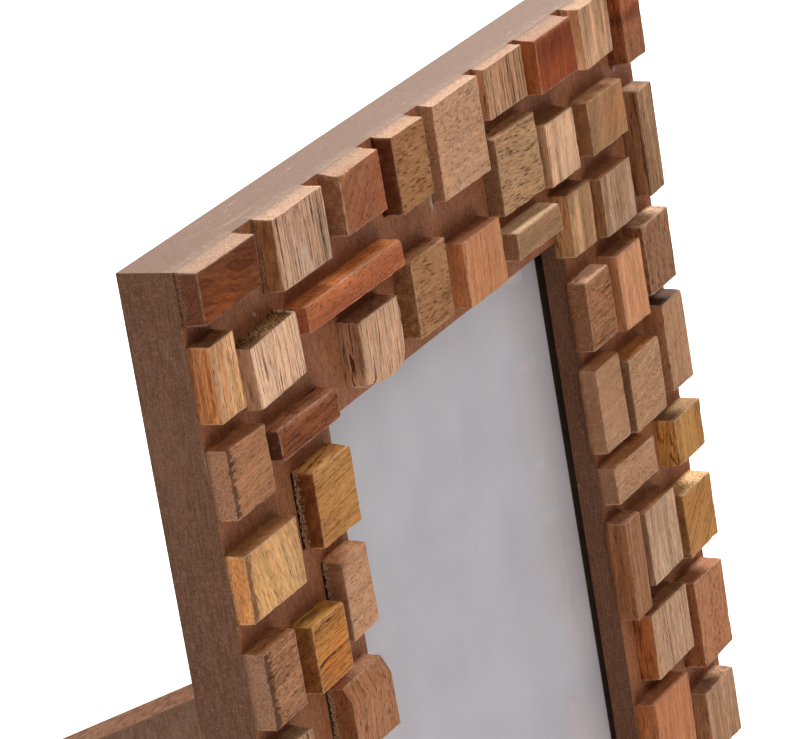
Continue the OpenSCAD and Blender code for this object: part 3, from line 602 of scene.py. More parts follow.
# one line per block: left, right, top, bottom (mm from the board's top left
# corner), height, turn in degrees, look, grain angle on the front in degrees
# (0 runs across, 90 upright, None shows end grain), extras
B = {
    "top_outer_blocks": [
        (0, 19.5, 0, 9, 4.5, 0, "curly", -15, dict(bloom=0.4, left=0.4, top='end', side=0.0, streak=0.8, wide=1.3, zones=[(0.35, 0.15, 6, 3.5, (1.3, 1.25, 1.1)), (0.9, 0.75, 5, 3, (0.8, 0.76, 0.72))], torn=0.25, light=-0.26, warm=0.22, tc=(0.4, 0.4, 0.4))),
        (25.5, 43, 0, 12.5, 4, 0, "zebra", 90, dict(bloom=0.5, left=0.75, smear_and_highlight=(0.48, 0.3, 1.4, 2.2), cell=0.4, streak=0.35, wide=0.7, torn=0.5, zones=[(0.45, 0.55, 4, 5, (0.92, 0.84, 0.84))], lc=(1.3, 1.1, 0.8), light=-0.02)),
        (48.5, 63, 0, 11, 4.2, 0, "redfleck", 40, dict(bloom=0.8, left=0.8, dips=[(0.22, 1, 1.5, 2.6)], light=0.06, warm=-0.08, streak=0.3, close=1.15, zones=[(1.0, 0.5, 1.6, 20, (1.2, 1.0, 0.7)), (0.5, 0.9, 6, 2.5, (1.05, 1.15, 1.2))], lc=(2.0, 3.3, 4.6), flk=0.8, tc=(0.75, 0.75, 0.75))),
        (68, 80.5, 0, 14, 4, 0, "dashes", -6, dict(bloom=0.5, left=1.0, light=-0.28, warm=0.13, close=0.62, streak=0.2, lc=AMBER)),
        (85.5, 103.5, 0, 17.5, 2.9, 0, "pinkfleck", 0, dict(bloom=0.9, left=0.5, light=0.2, streak=0.15, zones=[(0.0, 0.5, 2, 20, (1.12, 1.1, 1.08)), (0.5, 0.45, 5, 6, (0.93, 0.93, 0.93))], flk=1.0, close=0.6, warm=-0.05, tc=(0.65, 0.62, 0.6))),
        (106.5, 122, 0, 9.5, 2.8, 0, "zebra", 88, dict(bloom=0.5, left=0.1, light=-0.2, streak=0.4, wide=0.9, lin=0.9, warm=0.08)),
        # the pale band along this block's left arris is a painted highlight
        (124, 140, 0, 10.5, 4.4, 0, "redplain", 84, dict(bloom=0.7, left=0.3, soft=0.25, light=-0.05, warm=0.03, slope=[('top', 0.8, 0.4)], streak=0.35, wide=0.5, zones=[(0.5, 0.75, 6, 3, (0.72, 0.68, 0.66)), (0.45, 0.25, 5, 3, (1.25, 1.15, 1.0)), (0.0, 0.5, 1.0, 20, (1.5, 1.6, 1.6))], lc=(1.1, 1.5, 2.0))),
        (143, 155.5, 0, 11.5, 4.4, 0, "pale", 90, dict(bloom=0.5, left=0.3, streak=0.9, wide=0.55, zones=[(0.15, 0.2, 3, 4, (1.25, 1.25, 1.25)), (0.8, 0.8, 4, 4, (0.78, 0.74, 0.66))], lc=LIFT)),
        (160.5, 169.5, 0, 16, 4.1, 0, "redfleck", 88, dict(bloom=0.5, left=0.2, streak=0.4, zones=[(0.6, 0.55, 8, 1.3, (0.45, 0.42, 0.4)), (0.6, 0.1, 8, 4.5, (0.8, 1.15, 1.3)), (0.6, 0.95, 8, 4, (1.1, 1.0, 0.95))], lc=(0.75, 0.75, 0.8), light=0.12))],
    "top_middle_blocks": [
        (12, 28, 16, 27, 4.5, -4, "zebra", 92, dict(bloom=0.5, left=0.45, light=0.42, painted_top_shade=0.5, rough_top=0.5, cell=0.34, warm=-0.04, streak=0.25, torn_top=2.0)),
        # the pale smear and the pale zone along this strip's top arris are a painted highlight
        (31, 65.5, 16.5, 21.5, 4.5, 0, "redfleck", 2, dict(bloom=0.9, left=0.3, soft=0.5, light=0.12, slope=[('top', 1.1, 0.8)], streak=0.3, wide=0.6, tc=(1.2, 1.35, 1.1), zones=[(0.6, 1.0, 30, 1.0, (1.3, 1.5, 1.6))], warm=0.04, close=1.2, lc=LIFT, smear_and_highlight=(0.55, 1.0, 10.0, 0.35), flk=0.6)),
        (105, 121.5, 12, 26.5, 3.6, 0, "dashes", -6, dict(bloom=0.6, left=0.5, streak=0.2, light=-0.08, zones=[(0.95, 0.75, 2, 2, (1.15, 1.2, 1.2))], close=0.62, tc=(1.0, 0.95, 0.95), warm=-0.03)),
        (123.5, 136, 15.5, 27.5, 4, 0, "pale", 88, dict(bloom=0.4, left=0.4, light=0.15, streak=0.5, wide=0.6, tc=DARK)),
        (142, 158, 17, 27.5, 3.6, 0, "tanplain", 60, dict(bloom=0.8, left=0.3, streak=0.4, wide=0.35, tc=BRIGHT, light=-0.15, zones=[(0.75, 0.55, 4, 3.5, (1.1, 0.95, 0.85)), (0.15, 0.3, 3, 4, (0.88, 0.98, 1.05))], warm=0.01))],
    "top_inner_blocks": [
        (46.5, 61, 24.5, 37, 4.5, 0, "zebra", 86, dict(bloom=0.5, left=0.45, soft=0.25, warm=0.0, dips=[(0, 0, 3.4, 3.6), (1, 0, 1.4, 2.6), (0, 1, 0.8, 1.6)], streak=0.45, wide=0.8, light=0.05, tc=DARK)),
        (67.5, 81, 21.5, 35.5, 4, 1, "dashes", -6, dict(bloom=0.6, left=0.9, light=-0.24, warm=0.1, streak=0.2, lc=(2.3, 2.8, 3.2), tc=(0.65, 0.58, 0.5), close=0.62)),
        (86, 101, 24.5, 36.5, 4.3, 0, "orange", 84, dict(bloom=0.5, left=0.25, light=0.05, warm=-0.06, streak=0.3, wide=0.6, tc=DARK)),
        (106, 124, 29.5, 35, 4.6, 0, "tanplain", 2, dict(bloom=1.0, left=0.5, light=-0.22, streak=0.3, warm=-0.03, tc=PALE, lc=LIFT))],
    "left_outer_blocks": [
        (0, 8.5, 12, 25, 4.3, 0, "honey", 88, dict(bloom=0.5, left=0.1, light=0.08, streak=0.9, wide=0.45, side=0.08, warm=0.0, zones=[(0.35, 0.5, 1.0, 20, (0.72, 0.55, 0.42)), (0.9, 0.2, 2.5, 4, (1.1, 1.05, 0.85))], lc=RUST, tc=DARK)),
        (0, 13, 29, 41, 4, 0, "brown", 4, dict(bloom=0.6, left=0.0, rim=1.5, light=0.27, streak=0.2, side=0.35, close=1.3, warm=-0.02, flk=0.5)),
        (0, 18, 46.5, 58.5, 3.8, 0, "goldfleck", 104, dict(bloom=0.6, left=0.1, rim=1.8, light=0.05, streak=0.4, side=0.12, warm=0.02, lc=(1.05, 0.86, 0.72), tc=DIM, torn=0.4, zones=[(0.3, 0.3, 4, 4, (1.12, 1.1, 0.95))], close=1.1, flk=0.75)),
        (0, 11, 63, 76.5, 4.2, 0, "brown", 3, dict(bloom=0.5, left=0.1, rim=1.9, light=0.22, streak=0.3, side=0.45, close=1.25, warm=-0.03, tc=(1.0, 1.0, 0.9))),
        (0, 11, 80, 92, 4.3, 0, "greytan", 90, dict(bloom=0.5)),
        (0, 14, 97, 108, 4.2, 0, "tanfleck", 20, dict(bloom=0.6)),
        (0, 9, 112.5, 127, 4.6, 0, "zebra", 90, dict(bloom=0.5)),
        (0, 16.5, 131.5, 142, 4.3, 0, "golden", 0, dict(bloom=0.5)),
        (0, 11, 147, 160, 4, 0, "redplain", 86, dict(bloom=0.7)),
        (0, 18, 164.5, 172, 4.6, 0, "olive", 2, dict(bloom=0.6)),
        (0, 10.5, 176.5, 189, 4.4, 0, "pinkfleck", 60, dict(bloom=0.5)),
        (0, 9.5, 193.5, 205.5, 4.1, 0, "tanfleck", 85, dict(bloom=0.5))],
    "left_middle_blocks": [
        # the pale smear and the pale zone along this strip's top arris are a painted highlight
        (16.5, 37, 32, 37.5, 4.1, 0, "umber", 3, dict(bloom=1.0, left=0.8, light=0.35, warm=0.1, slope=[('top', 1.2, 0.7)], streak=0.3, zones=[(0.5, 1.0, 40, 0.8, (1.9, 2.3, 2.8))], smear_and_highlight=(0.5, 1.0, 12.0, 0.45), tc=(1.0, 1.2, 1.4))),
        (15.5, 27, 65, 77, 4.4, 0, "goldline", 2, dict(bloom=0.8, left=0.8, light=0.2, streak=0.3, zones=[(0.55, 0.3, 4, 3, (1.05, 0.9, 0.8)), (0.2, 0.8, 4, 4, (0.95, 1.1, 1.2))], tc=(1.2, 1.5, 1.6), lc=(1.7, 1.8, 1.9))),
        (13.5, 26, 112.5, 124, 4, 0, "pinkfleck", 35, dict(bloom=0.6, left=0.5)),
        (15.5, 27, 145, 158.5, 4.4, 0, "zebra", 88, dict(bloom=0.5, left=0.4)),
        (14.5, 27, 179.5, 191, 4.1, 0, "brown", 5, dict(bloom=0.6, left=0.4))],
    "left_inner_blocks": [
        (24, 37.5, 42, 55.5, 4.3, 0, "golden", 4, dict(bloom=0.6, left=0.95, light=0.05, streak=0.25, torn=1.0, tc=BRIGHT, lc=GLOW)),
        (28.5, 38, 59, 73.5, 4.3, 0, "pinkfleck", 0, dict(bloom=0.5, left=0.4, soft=0.3, light=0.05, dips=[(0, 1, 1.6, 3.0)], streak=0.2, torn=1.0, lc=(0.85, 0.8, 0.8), tc=LIFT)),
        (23, 37.5, 79, 91.5, 5, 0, "rosy", 80, dict(bloom=0.7, left=0.5, light=-0.08, slope=[('top', 3.2, 1.8)], tc=BRIGHT, torn=0.9, streak=0.3)),
        (19, 37, 96, 102.5, 4.6, 0, "brown", 4, dict(bloom=0.6, left=0.5)),
        (30, 37, 107, 122, 4.3, 0, "orange", 88, dict(bloom=0.5, left=0.3)),
        (21, 36.5, 128, 139.5, 4.9, 0, "tanfleck", 15, dict(bloom=0.6, left=0.5)),
        (30.5, 37, 143.5, 159, 4.6, 0, "golden", 86, dict(bloom=0.5, left=0.5)),
        (22.5, 37, 163.5, 175.5, 4.2, 0, "zebra", 90, dict(bloom=0.6, left=0.4))],
    "right_outer_blocks": [
        (162, 169, 21, 41.5, 4.3, 0, "greytan", 90, dict(bloom=0.4, left=0.3, light=-0.2, warm=0.06, streak=0.8, wide=0.6)),
        (156, 168, 45, 59, 4.2, 0, "brown", 85, dict(bloom=0.6, left=0.4, streak=0.3, light=0.0, warm=-0.06, tc=PALE, lc=LIFT)),
        (159, 169, 61.5, 79, 4.4, 0, "pinkfleck", 85, dict(bloom=0.5, left=0.3, streak=0.35, light=-0.06, tc=(0.2, 0.13, 0.08))),
        (157, 169.5, 83.5, 93, 4.5, 0, "golden", 85, dict(bloom=0.6, left=0.15, streak=0.3, warm=-0.03, lc=LIFT, tc=(0.8, 0.95, 1.25))),
        (155.5, 169, 98, 111, 4.6, 0, "golden", 40, dict(bloom=0.7, left=0.5, streak=0.25, tc=(1.6, 2.3, 4.0))),
        (155, 168.5, 115.5, 133, 4.7, 0, "rosy", 80, dict(bloom=0.9, left=0.5, streak=0.3)),
        (153.5, 167.5, 137.5, 151, 4.4, 0, "greytan", 88, dict(bloom=0.6, left=0.4, streak=0.7, wide=0.6)),
        (151, 168, 155, 164, 4.6, 0, "zebra", 90, dict(bloom=0.5, left=0.4)),
        (158.5, 168, 169, 183, 4.2, 0, "orange", 86, dict(bloom=0.5, left=0.4)),
        (160, 168.5, 187.5, 201, 4.5, 0, "brown", 88, dict(bloom=0.5, left=0.4))],
    "right_middle_blocks": [
        (142.5, 156, 31.5, 43, 4, 0, "greytan", 90, dict(bloom=0.4, left=0.4, streak=0.45, light=0.06, warm=-0.02, lc=(1.0, 0.95, 0.8), tc=(1.05, 0.75, 0.5))),
        (143.5, 154.5, 46.5, 61.5, 4.5, 0, "orange", 88, dict(bloom=0.4, left=0.5, light=0.22, warm=-0.14, streak=0.4, wide=0.5, tc=DARK, lc=LIFT)),
        (142, 156, 66, 80.5, 4.3, 0, "crinkle", 6, dict(bloom=0.8, left=0.6, light=-0.06, streak=0.3, tc=(1.05, 0.85, 0.55), flk=0.6)),
        (139.5, 153.5, 95, 110, 4.3, 0, "greytan", 88, dict(bloom=0.4, left=0.5, light=0.22, warm=-0.09, streak=0.35, tc=(0.82, 0.55, 0.32))),
        (136, 152.5, 114, 127.5, 4.2, 0, "greytan", 90, dict(bloom=0.4, left=0.2, light=0.14, warm=-0.03, streak=0.35, lc=(0.95, 0.55, 0.32), tc=(0.7, 0.5, 0.3))),
        (144, 155, 168.5, 180, 4.4, 0, "golden", 4, dict(bloom=0.6, left=0.4))],
    "right_inner_blocks": [
        (128, 138, 30, 42, 4.2, 0, "honey", 88, dict(bloom=0.5, left=0.2, light=-0.24, streak=0.55, wide=0.4, zones=[(0.22, 0.5, 2.2, 6, (1.25, 1.25, 1.25)), (0.75, 0.5, 2.0, 8, (0.68, 0.62, 0.55))], soft=0.5, tc=(0.48, 0.3, 0.14), lin=0.5)),
        (130, 141, 47, 60.5, 4, 0, "brown", 3, dict(bloom=0.7, left=0.5, light=0.04, streak=0.2, close=1.3, tc=(3.0, 4.4, 6.5), lc=LIFT)),
        (129.5, 140.5, 63.5, 80, 3.7, 0, "pinkfleck", 3, dict(bloom=0.5, left=0.5, light=-0.12, streak=0.2, lc=LIFT, flk=0.6, tc=(1.3, 1.2, 0.95))),
        (131, 149, 83, 90.5, 3.9, 0, "pinkfleck", 3, dict(bloom=0.8, left=0.4, light=-0.1, streak=0.2, tc=(1.2, 1.15, 0.95))),
        (130.5, 137.5, 93.5, 113, 4.4, 0, "brown", 88, dict(bloom=0.3, left=0.3, light=0.05, streak=0.5, warm=-0.04, tc=LIFT, flk=0.4)),
        (131.5, 147.5, 130, 144, 4.5, 0, "orange", 86, dict(bloom=0.4, left=0.3, streak=0.4, light=-0.12, warm=0.03)),
        (131, 146, 148, 161, 4.2, 0, "tanfleck", 10, dict(bloom=0.5, left=0.5)),
        (131, 140.5, 165, 181, 4, 0, "pale", 88, dict(bloom=0.5, left=0.5))],
    "bottom_outer_blocks": [
        (0, 15, 210, 220, 4.4, 0, "zebra", 90, dict(bloom=0.5)),
        (19, 30.5, 209.5, 220, 4.2, 0, "redfleck", 60, dict(bloom=0.6, left=0.4)),
        (34.5, 52, 208.5, 220, 4.5, 0, "pinkfleck", 12, dict(bloom=0.6, left=0.4)),
        (56.5, 68, 201.5, 220, 4.6, 0, "greytan", 90, dict(bloom=0.5, left=0.4)),
        (72.5, 86, 209, 220, 4, 0, "golden", 10, dict(bloom=0.5, left=0.4)),
        (90, 101.5, 202.5, 220, 4.5, 0, "orange", 86, dict(bloom=0.5, left=0.4)),
        (105.5, 122, 212, 220, 4.3, 0, "zebra", 90, dict(bloom=0.6, left=0.4)),
        (126, 140.5, 210.5, 220, 4.6, 0, "curly", 20, dict(bloom=0.7, left=0.4)),
        (144, 156, 212.5, 220, 4.1, 0, "tanfleck", 8, dict(bloom=0.5, left=0.4)),
        (160, 169, 205.5, 220, 4.4, 0, "redplain", 88, dict(bloom=0.5, left=0.3))],
    "bottom_middle_blocks": [
        (13.5, 26.5, 195.5, 205.5, 4.3, 0, "rosy", 45, dict(bloom=0.6, left=0.4)),
        (30.5, 47, 199, 204.5, 4.6, 0, "umber", 2, dict(bloom=0.9, left=0.6)),
        (71.5, 86, 193.5, 205, 4.3, 0, "zebra", 90, dict(bloom=0.5, left=0.4)),
        (105, 120.5, 198, 208, 4.6, 0, "tanfleck", 10, dict(bloom=0.6, left=0.5)),
        (124.5, 138, 200.5, 206.5, 4.2, 0, "redplain", 2, dict(bloom=0.8, left=0.4)),
        (142, 155.5, 199, 208.5, 4.4, 0, "goldline", 2, dict(bloom=0.6, left=0.4))],
    "bottom_inner_blocks": [
        (31, 45, 183.5, 195, 4.4, 0, "brown", 5, dict(bloom=0.6, left=0.4)),
        (49.5, 62, 184, 197, 4.7, 0, "golden", 86, dict(bloom=0.5, left=0.5)),
        (67, 86, 183, 189.5, 4.3, 0, "redfleck", 4, dict(bloom=0.8, left=0.4)),
        (90, 102, 184.5, 198, 4.5, 0, "greytan", 90, dict(bloom=0.5, left=0.4)),
        (106.5, 120, 183.5, 194, 4.1, 0, "pinkfleck", 40, dict(bloom=0.6, left=0.4)),
        (124.5, 138, 185.5, 196.5, 4.6, 0, "zebra", 88, dict(bloom=0.5, left=0.4)),
        (142, 155.5, 184.5, 195, 4.2, 0, "tanfleck", 15, dict(bloom=0.5, left=0.4))],
}


def make_block(b, rng):
    """Points (board mm), quads and stored values of one sawn block."""
    x0, x1, t0, t1, h, turn, kind, angle, ex = b
    W, H, T = x1 - x0, t1 - t0, h
    cell = ex.get("cell", 0.8)
    gx, gz = steps(W, cell), steps(H, cell)
    near = [0.0, 0.10, 0.24, 0.44, 0.72]
    gy = near + list(np.linspace(0.72, T, max(3, int((T - 0.72) / min(cell, 0.75))) + 1))[1:]
    pos, faces = lattice(gx, [v - T for v in gy], gz)     # y from -T (front) to 0 (board)
    seed = int(rng.integers(1, 1 << 20))
    size = np.array([W, T, H])
    lo = np.array([0.0, -T, 0.0])
    hi = np.array([W, 0.0, H])

    # distances to the five open faces
    d = np.stack([pos[:, 0], W - pos[:, 0], pos[:, 1] + T, pos[:, 2], H - pos[:, 2]], 1)
    ds = np.sort(d, 1)
    edge = np.exp(-ds[:, 1] / 0.44) * (pos[:, 1] < -0.3)

    # arris radius: small, uneven, with knocks and torn places
    soft = ex.get("soft", 0.0)
    r0 = rng.uniform(0.12, 0.24) + soft * 0.55
    r = r0 * (0.45 + 1.1 * vnoise(pos * 0.55, seed)) + 0.20 * np.clip(vnoise(pos * 2.1, seed + 1) - 0.50, 0, 1)
    for _ in range(int(rng.integers(3, 8)) + int(4 * ex.get("bloom", 0.5))):
        c = np.array([rng.uniform(0, W), -T * rng.uniform(0.2, 1.0), rng.uniform(0, H)])
        ax = rng.integers(0, 3)
        for a in range(3):
            if a != ax:
                c[a] = (lo[a], hi[a])[int(rng.integers(0, 2))] if a != 1 else -T
        ra, am = rng.uniform(0.4, 1.3), rng.uniform(0.10, 0.42)
        r += am * np.exp(-(((pos - c) / ra) ** 2).sum(1))
    for dip in ex.get("dips", []):          # worn corners: (x 0..1, z 0..1, radius, reach), in mm
        cx, cz, am, reach = dip
        c = np.array([cx * W, -T, cz * H])
        r += am * np.exp(-(((pos - c) * np.array([1, 0.5, 1]) / reach) ** 2).sum(1))
    r = np.minimum(r, 0.40 * min(W, H, T * 1.5))
    low = np.stack([r, r - T, r], 1)
    high = np.stack([W - r, np.full_like(r, 1e3), H - r], 1)
    core = np.minimum(np.maximum(pos, low), high)
    core[:, 1] = np.maximum(pos[:, 1], r - T)
    q = pos - core
    n = np.linalg.norm(q, axis=1)
    out = np.where((n > r)[:, None], core + q / np.maximum(n, 1e-9)[:, None] * r[:, None], pos)

    # sawn faces are not quite flat; everything moves inwards only
    inward = (0.04 + 0.10 * vnoise(pos * 0.22, seed + 2) + 0.05 * vnoise(pos * 0.9, seed + 3)
              + 0.035 * vnoise(pos * np.array([2.6, 2.6, 2.6]), seed + 4))
    nrm = np.zeros_like(out)
    nrm[:, 0] = (pos[:, 0] >= W - 1e-6) * 1.0 - (pos[:, 0] <= 1e-6) * 1.0
    nrm[:, 1] = -((pos[:, 1] <= -T + 1e-6) * 1.0)
    nrm[:, 2] = (pos[:, 2] >= H - 1e-6) * 1.0 - (pos[:, 2] <= 1e-6) * 1.0
    for side, wide, drop in ex.get("slope", []):       # a shoulder planed off along one side
        dist = {"left": pos[:, 0], "right": W - pos[:, 0], "low": pos[:, 2], "top": H - pos[:, 2]}[side]
        out[:, 1] = np.maximum(out[:, 1], -T + drop * np.clip(1 - dist / wide, 0, 1))
    if "rough_top" in ex:
        torn = vnoise(pos * 2.4, seed + 5) + 0.6 * vnoise(pos * 4.1, seed + 6)
        inward = inward + nrm[:, 2].clip(0, 1) * ex["rough_top"] * torn * (pos[:, 1] > -T + 0.3)
    if t0 < 0.1:                                       # sanded level with the board, so it meets the board flush
        inward = np.where(nrm[:, 2] > 0.5, inward * np.clip((-pos[:, 1] - 0.3) / 1.5, 0, 1), inward)
    out = out - nrm * inward[:, None]

    # corners out of square
    k = ex.get("skew", 1.0)
    u = np.clip(out / np.array([W, 1, H]), 0, 1)
    f = np.clip(-out[:, 1] / T, 0, 1)
    cor = rng.uniform(0, 1, (2, 2, 3)) * np.array([0.32, 0.30, 0.32]) * k
    hand = ex.get("corners")          # {(right?, top?): (dx, dheight, dz)} in mm, moved inwards
    if hand:
        for (i, j), v in hand.items():
            cor[i, j] = v
    dx = dz = dh = 0
    for i in (0, 1):
        for j in (0, 1):
            w = (u[:, 0] if i else 1 - u[:, 0]) * (u[:, 2] if j else 1 - u[:, 2])
            dx = dx + w * cor[i, j, 0] * (-1 if i else 1) * f
            dz = dz + w * cor[i, j, 2] * (-1 if j else 1) * f
            dh = dh + w * cor[i, j, 1] * f
    out[:, 0] += dx
    out[:, 2] += dz
    out[:, 1] += dh
    out[pos[:, 1] > -1e-6, 1] = 0.0

    # turn in the plane and go to board coordinates
    a = math.radians(turn)
    cx, cz = W / 2, H / 2
    X, Z = out[:, 0] - cx, out[:, 2] - cz
    bx = (x0 + x1) / 2 + X * math.cos(a) + Z * math.sin(a)
    bz = BH - (t0 + t1) / 2 - X * math.sin(a) + Z * math.cos(a)
    board = np.stack([bx, out[:, 1], bz], 1)

    # grain coordinates: z along the grain
    light, dark, lines, flecks, curl, pitch, fl = KINDS[kind]
    off = rng.uniform(-400, 400, 3)
    p = pos - np.array([cx, 0, cz])
    if angle is None:
        tilt = rng.uniform(-0.1, 0.1)
        g = np.stack([p[:, 0], p[:, 2], p[:, 1] + tilt * p[:, 0]], 1)
        gdir = np.array([0.0, 1.0, 0.0])
    else:
        th = math.radians(angle) + rng.uniform(-0.03, 0.03)
        rise = rng.uniform(-0.10, 0.10)
        al = p[:, 0] * math.cos(th) + p[:, 2] * math.sin(th) + rise * p[:, 1]
        ac = -p[:, 0] * math.sin(th) + p[:, 2] * math.cos(th)
        g = np.stack([ac, p[:, 1] * 1.0 + 0.12 * ac, al], 1)
        gdir = np.array([math.cos(th), 0.0, math.sin(th)])
    g = g + off
    # which face a point belongs to, blended over a rounded arris
    fw = np.exp(-d / 0.22)
    fw = fw / fw.sum(1, keepdims=True)
    normals = np.array([[-1, 0, 0], [1, 0, 0], [0, -1, 0], [0, 0, -1], [0, 0, 1]], float)
    endg = (fw * (np.abs(normals @ gdir) ** 3)[None, :]).sum(1)
    flush = np.array([(x0 < 0.1) * ex.get("side", 0.45), (x1 > BW - 0.1) * 0.45, 0, (t1 > BH - 0.1) * 0.45, (t0 < 0.1) * 1.0])
    sand = (fw * flush[None, :]).sum(1)
    # left, right and low faces darkened: saw scorch, and painted shade where neighbours shelter them; on the top only
    # painted shade
    scorch_and_shade = fw[:, 0] * ex.get("left", 0.25) + fw[:, 1] * ex.get("right", 0.3) + fw[:, 4] * ex.get("painted_top_shade", 0.0) \
        + fw[:, 3] * ex.get("burn_low", 0.3)
    scorch_and_shade = scorch_and_shade * (1 - np.minimum(sand * 2, 1)) if x0 >= 0.1 or ex.get("side", 0.45) > 0 else scorch_and_shade
    band = ex.get("rim", 0.0)
    rim = np.clip(1 - pos[:, 0] / (2 * band), 0, 1) * np.clip(fw[:, 2] * 2, 0, 1) if band else sand * 0
    smear_and_highlight = 0 * sand
    if "smear_and_highlight" in ex:
        sx, sz, rx, rz = ex["smear_and_highlight"]
        smear_and_highlight = np.exp(-((pos[:, 0] - sx * W) / rx) ** 2 - ((pos[:, 2] - sz * H) / rz) ** 2) * np.maximum(fw[:, 2], fw[:, 4] * np.exp(-((pos[:, 1] + T) / 0.7) ** 2))
    var = rng.uniform(-1, 1, 3)
    tone = 1 + 0.04 * var[0] + ex.get("light", 0.0)
    warm = 0.02 * var[1] + ex.get("warm", 0.0)
    hue = np.array([1 + warm, 1.0 - 0.3 * warm, 1 - 1.6 * warm])
    m = len(pos)
    one = np.ones(m)
    # places where the heartwood or the finish is lighter or darker, and on a few blocks a painted highlight along an
    # arris: (x 0..1, z 0..1, reach, reach in mm, colour factor)
    tint = np.ones((m, 3))
    for zx, zz, rx, rz, factor in ex.get("zones", []):
        w = np.exp(-((pos[:, 0] - zx * W) / rx) ** 2 - ((pos[:, 2] - zz * H) / rz) ** 2)
        w = np.clip(w * (0.7 + 0.6 * vnoise(pos * 0.8, seed + 7)), 0, 1)
        tint = tint * (1 + w[:, None] * (np.array(factor) - 1))
    # tc and lc paint light and shade onto the top and left faces, along with the wood's own tone
    tint = tint * (1 + fw[:, 0:1] * (np.array(ex.get("lc", (1, 1, 1))) - 1)) * (1 + fw[:, 4:5] * (np.array(ex.get("tc", (1, 1, 1))) - 1))
    tint = tint * (1 + fw[:, 0:1] * (np.array((1.0, 0.90, 0.78)) - 1))
    ca = np.array(light) * tone * hue * tint
    cb = np.array(dark) * (1 + 0.06 * var[2] + ex.get("light", 0.0)) * hue * tint
    frayed = fw[:, 0] * ex.get("torn", 0.0) + fw[:, 4] * ex.get("torn_top", 0.0)
    at = {
        "gr": g,
        "ca": np.concatenate([ca, one[:, None]], 1),
        "cb": np.concatenate([cb, one[:, None]], 1),
        "pa": np.stack([lines * ex.get("lin", 1.0) * one, flecks * ex.get("flk", 1.0) * one, curl * one], 1),
        "pb": np.stack([pitch * one, fl * one, ex.get("bloom", 0.5) * one], 1),
        "fx": np.stack([edge, scorch_and_shade, endg], 1),
        "lo": np.stack([np.clip(-pos[:, 1] / T, 0, 1), ex.get("close", 1.0) * one, ex.get("polish", 0.4) * one], 1),
        "sd": np.stack([sand, rim, smear_and_highlight], 1),
        "st": np.stack([ex.get("streak", 0.35) * one, ex.get("wide", 0.9) * one, frayed], 1),
    }
    return board, faces, at


def make_row(node, row, seed):
    rng = np.random.default_rng(seed)
    vs, fs, ats, base = [], [], [], 0
    for b in row:
        v, f, a = make_block(b, rng)
        vs.append(v)
        fs.append(f + base)
        ats.append(a)
        base += len(v)
    v = np.concatenate(vs)
    f = np.concatenate(fs)
    ob = new_object(node.replace("_blocks", "_mosaic"), v, f.tolist(), [WOOD], "frame", [node])
    for k in ats[0]:
        store(ob.data, k, np.concatenate([a[k] for a in ats]))
    return ob


for n, (node, row) in enumerate(B.items()):
    make_row(node, row, 1000 + 17 * n)


# ---------------------------------------------------------------- pieces refined from the CAD meshes
def refine(node, name, mats, bevel, segments=2, angle=30.0, crisp=None, merge=True):
    """A copy of a CAD node with its seams welded, its faces merged and its
    arrises eased. crisp picks the edges that stay sharp. merge joins flat
    faces first, which only suits faces without large holes."""
    src = NODES[node]
    bm = bmesh.new()
    bm.from_mesh(src.data)
    bmesh.ops.remove_doubles(bm, verts=bm.verts, dist=2e-6)
    if merge:
        bmesh.ops.dissolve_limit(bm, angle_limit=math.radians(0.6), verts=bm.verts, edges=bm.edges)
    bm.normal_update()
    sharp = [e for e in bm.edges if len(e.link_faces) == 2 and e.calc_face_angle(0) > math.radians(angle)]
    if crisp:
        sharp = [e for e in sharp if not crisp(to_board([v.co[:] for v in e.verts]))]
    if bevel > 0:
        bmesh.ops.bevel(bm, geom=sharp, offset=bevel * 0.001, segments=segments, profile=0.6,
                        affect="EDGES", clamp_overlap=True, miter_outer="ARC")
    bmesh.ops.triangulate(bm, faces=[f for f in bm.faces if len(f.verts) > 4])
    me = bpy.data.meshes.new(name)
    bm.to_mesh(me)
    bm.free()
    ob = bpy.data.objects.new(name, me)
    scene.collection.objects.link(ob)
    for m in mats:
        me.materials.append(m)
    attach(ob, src["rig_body"])
    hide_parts(node)
    smooth_flat(ob)
    return ob


def smooth_flat(ob, angle=28.0):
    """Smooth shading that keeps arrises over the angle crisp, and flat faces flat."""
    me = ob.data
    me.polygons.foreach_set("use_smooth", [True] * len(me.polygons))
    me.set_sharp_from_angle(angle=math.radians(angle))
    md = ob.modifiers.new("Weighted", "WEIGHTED_NORMAL")
    md.keep_sharp = True
    md.weight = 60


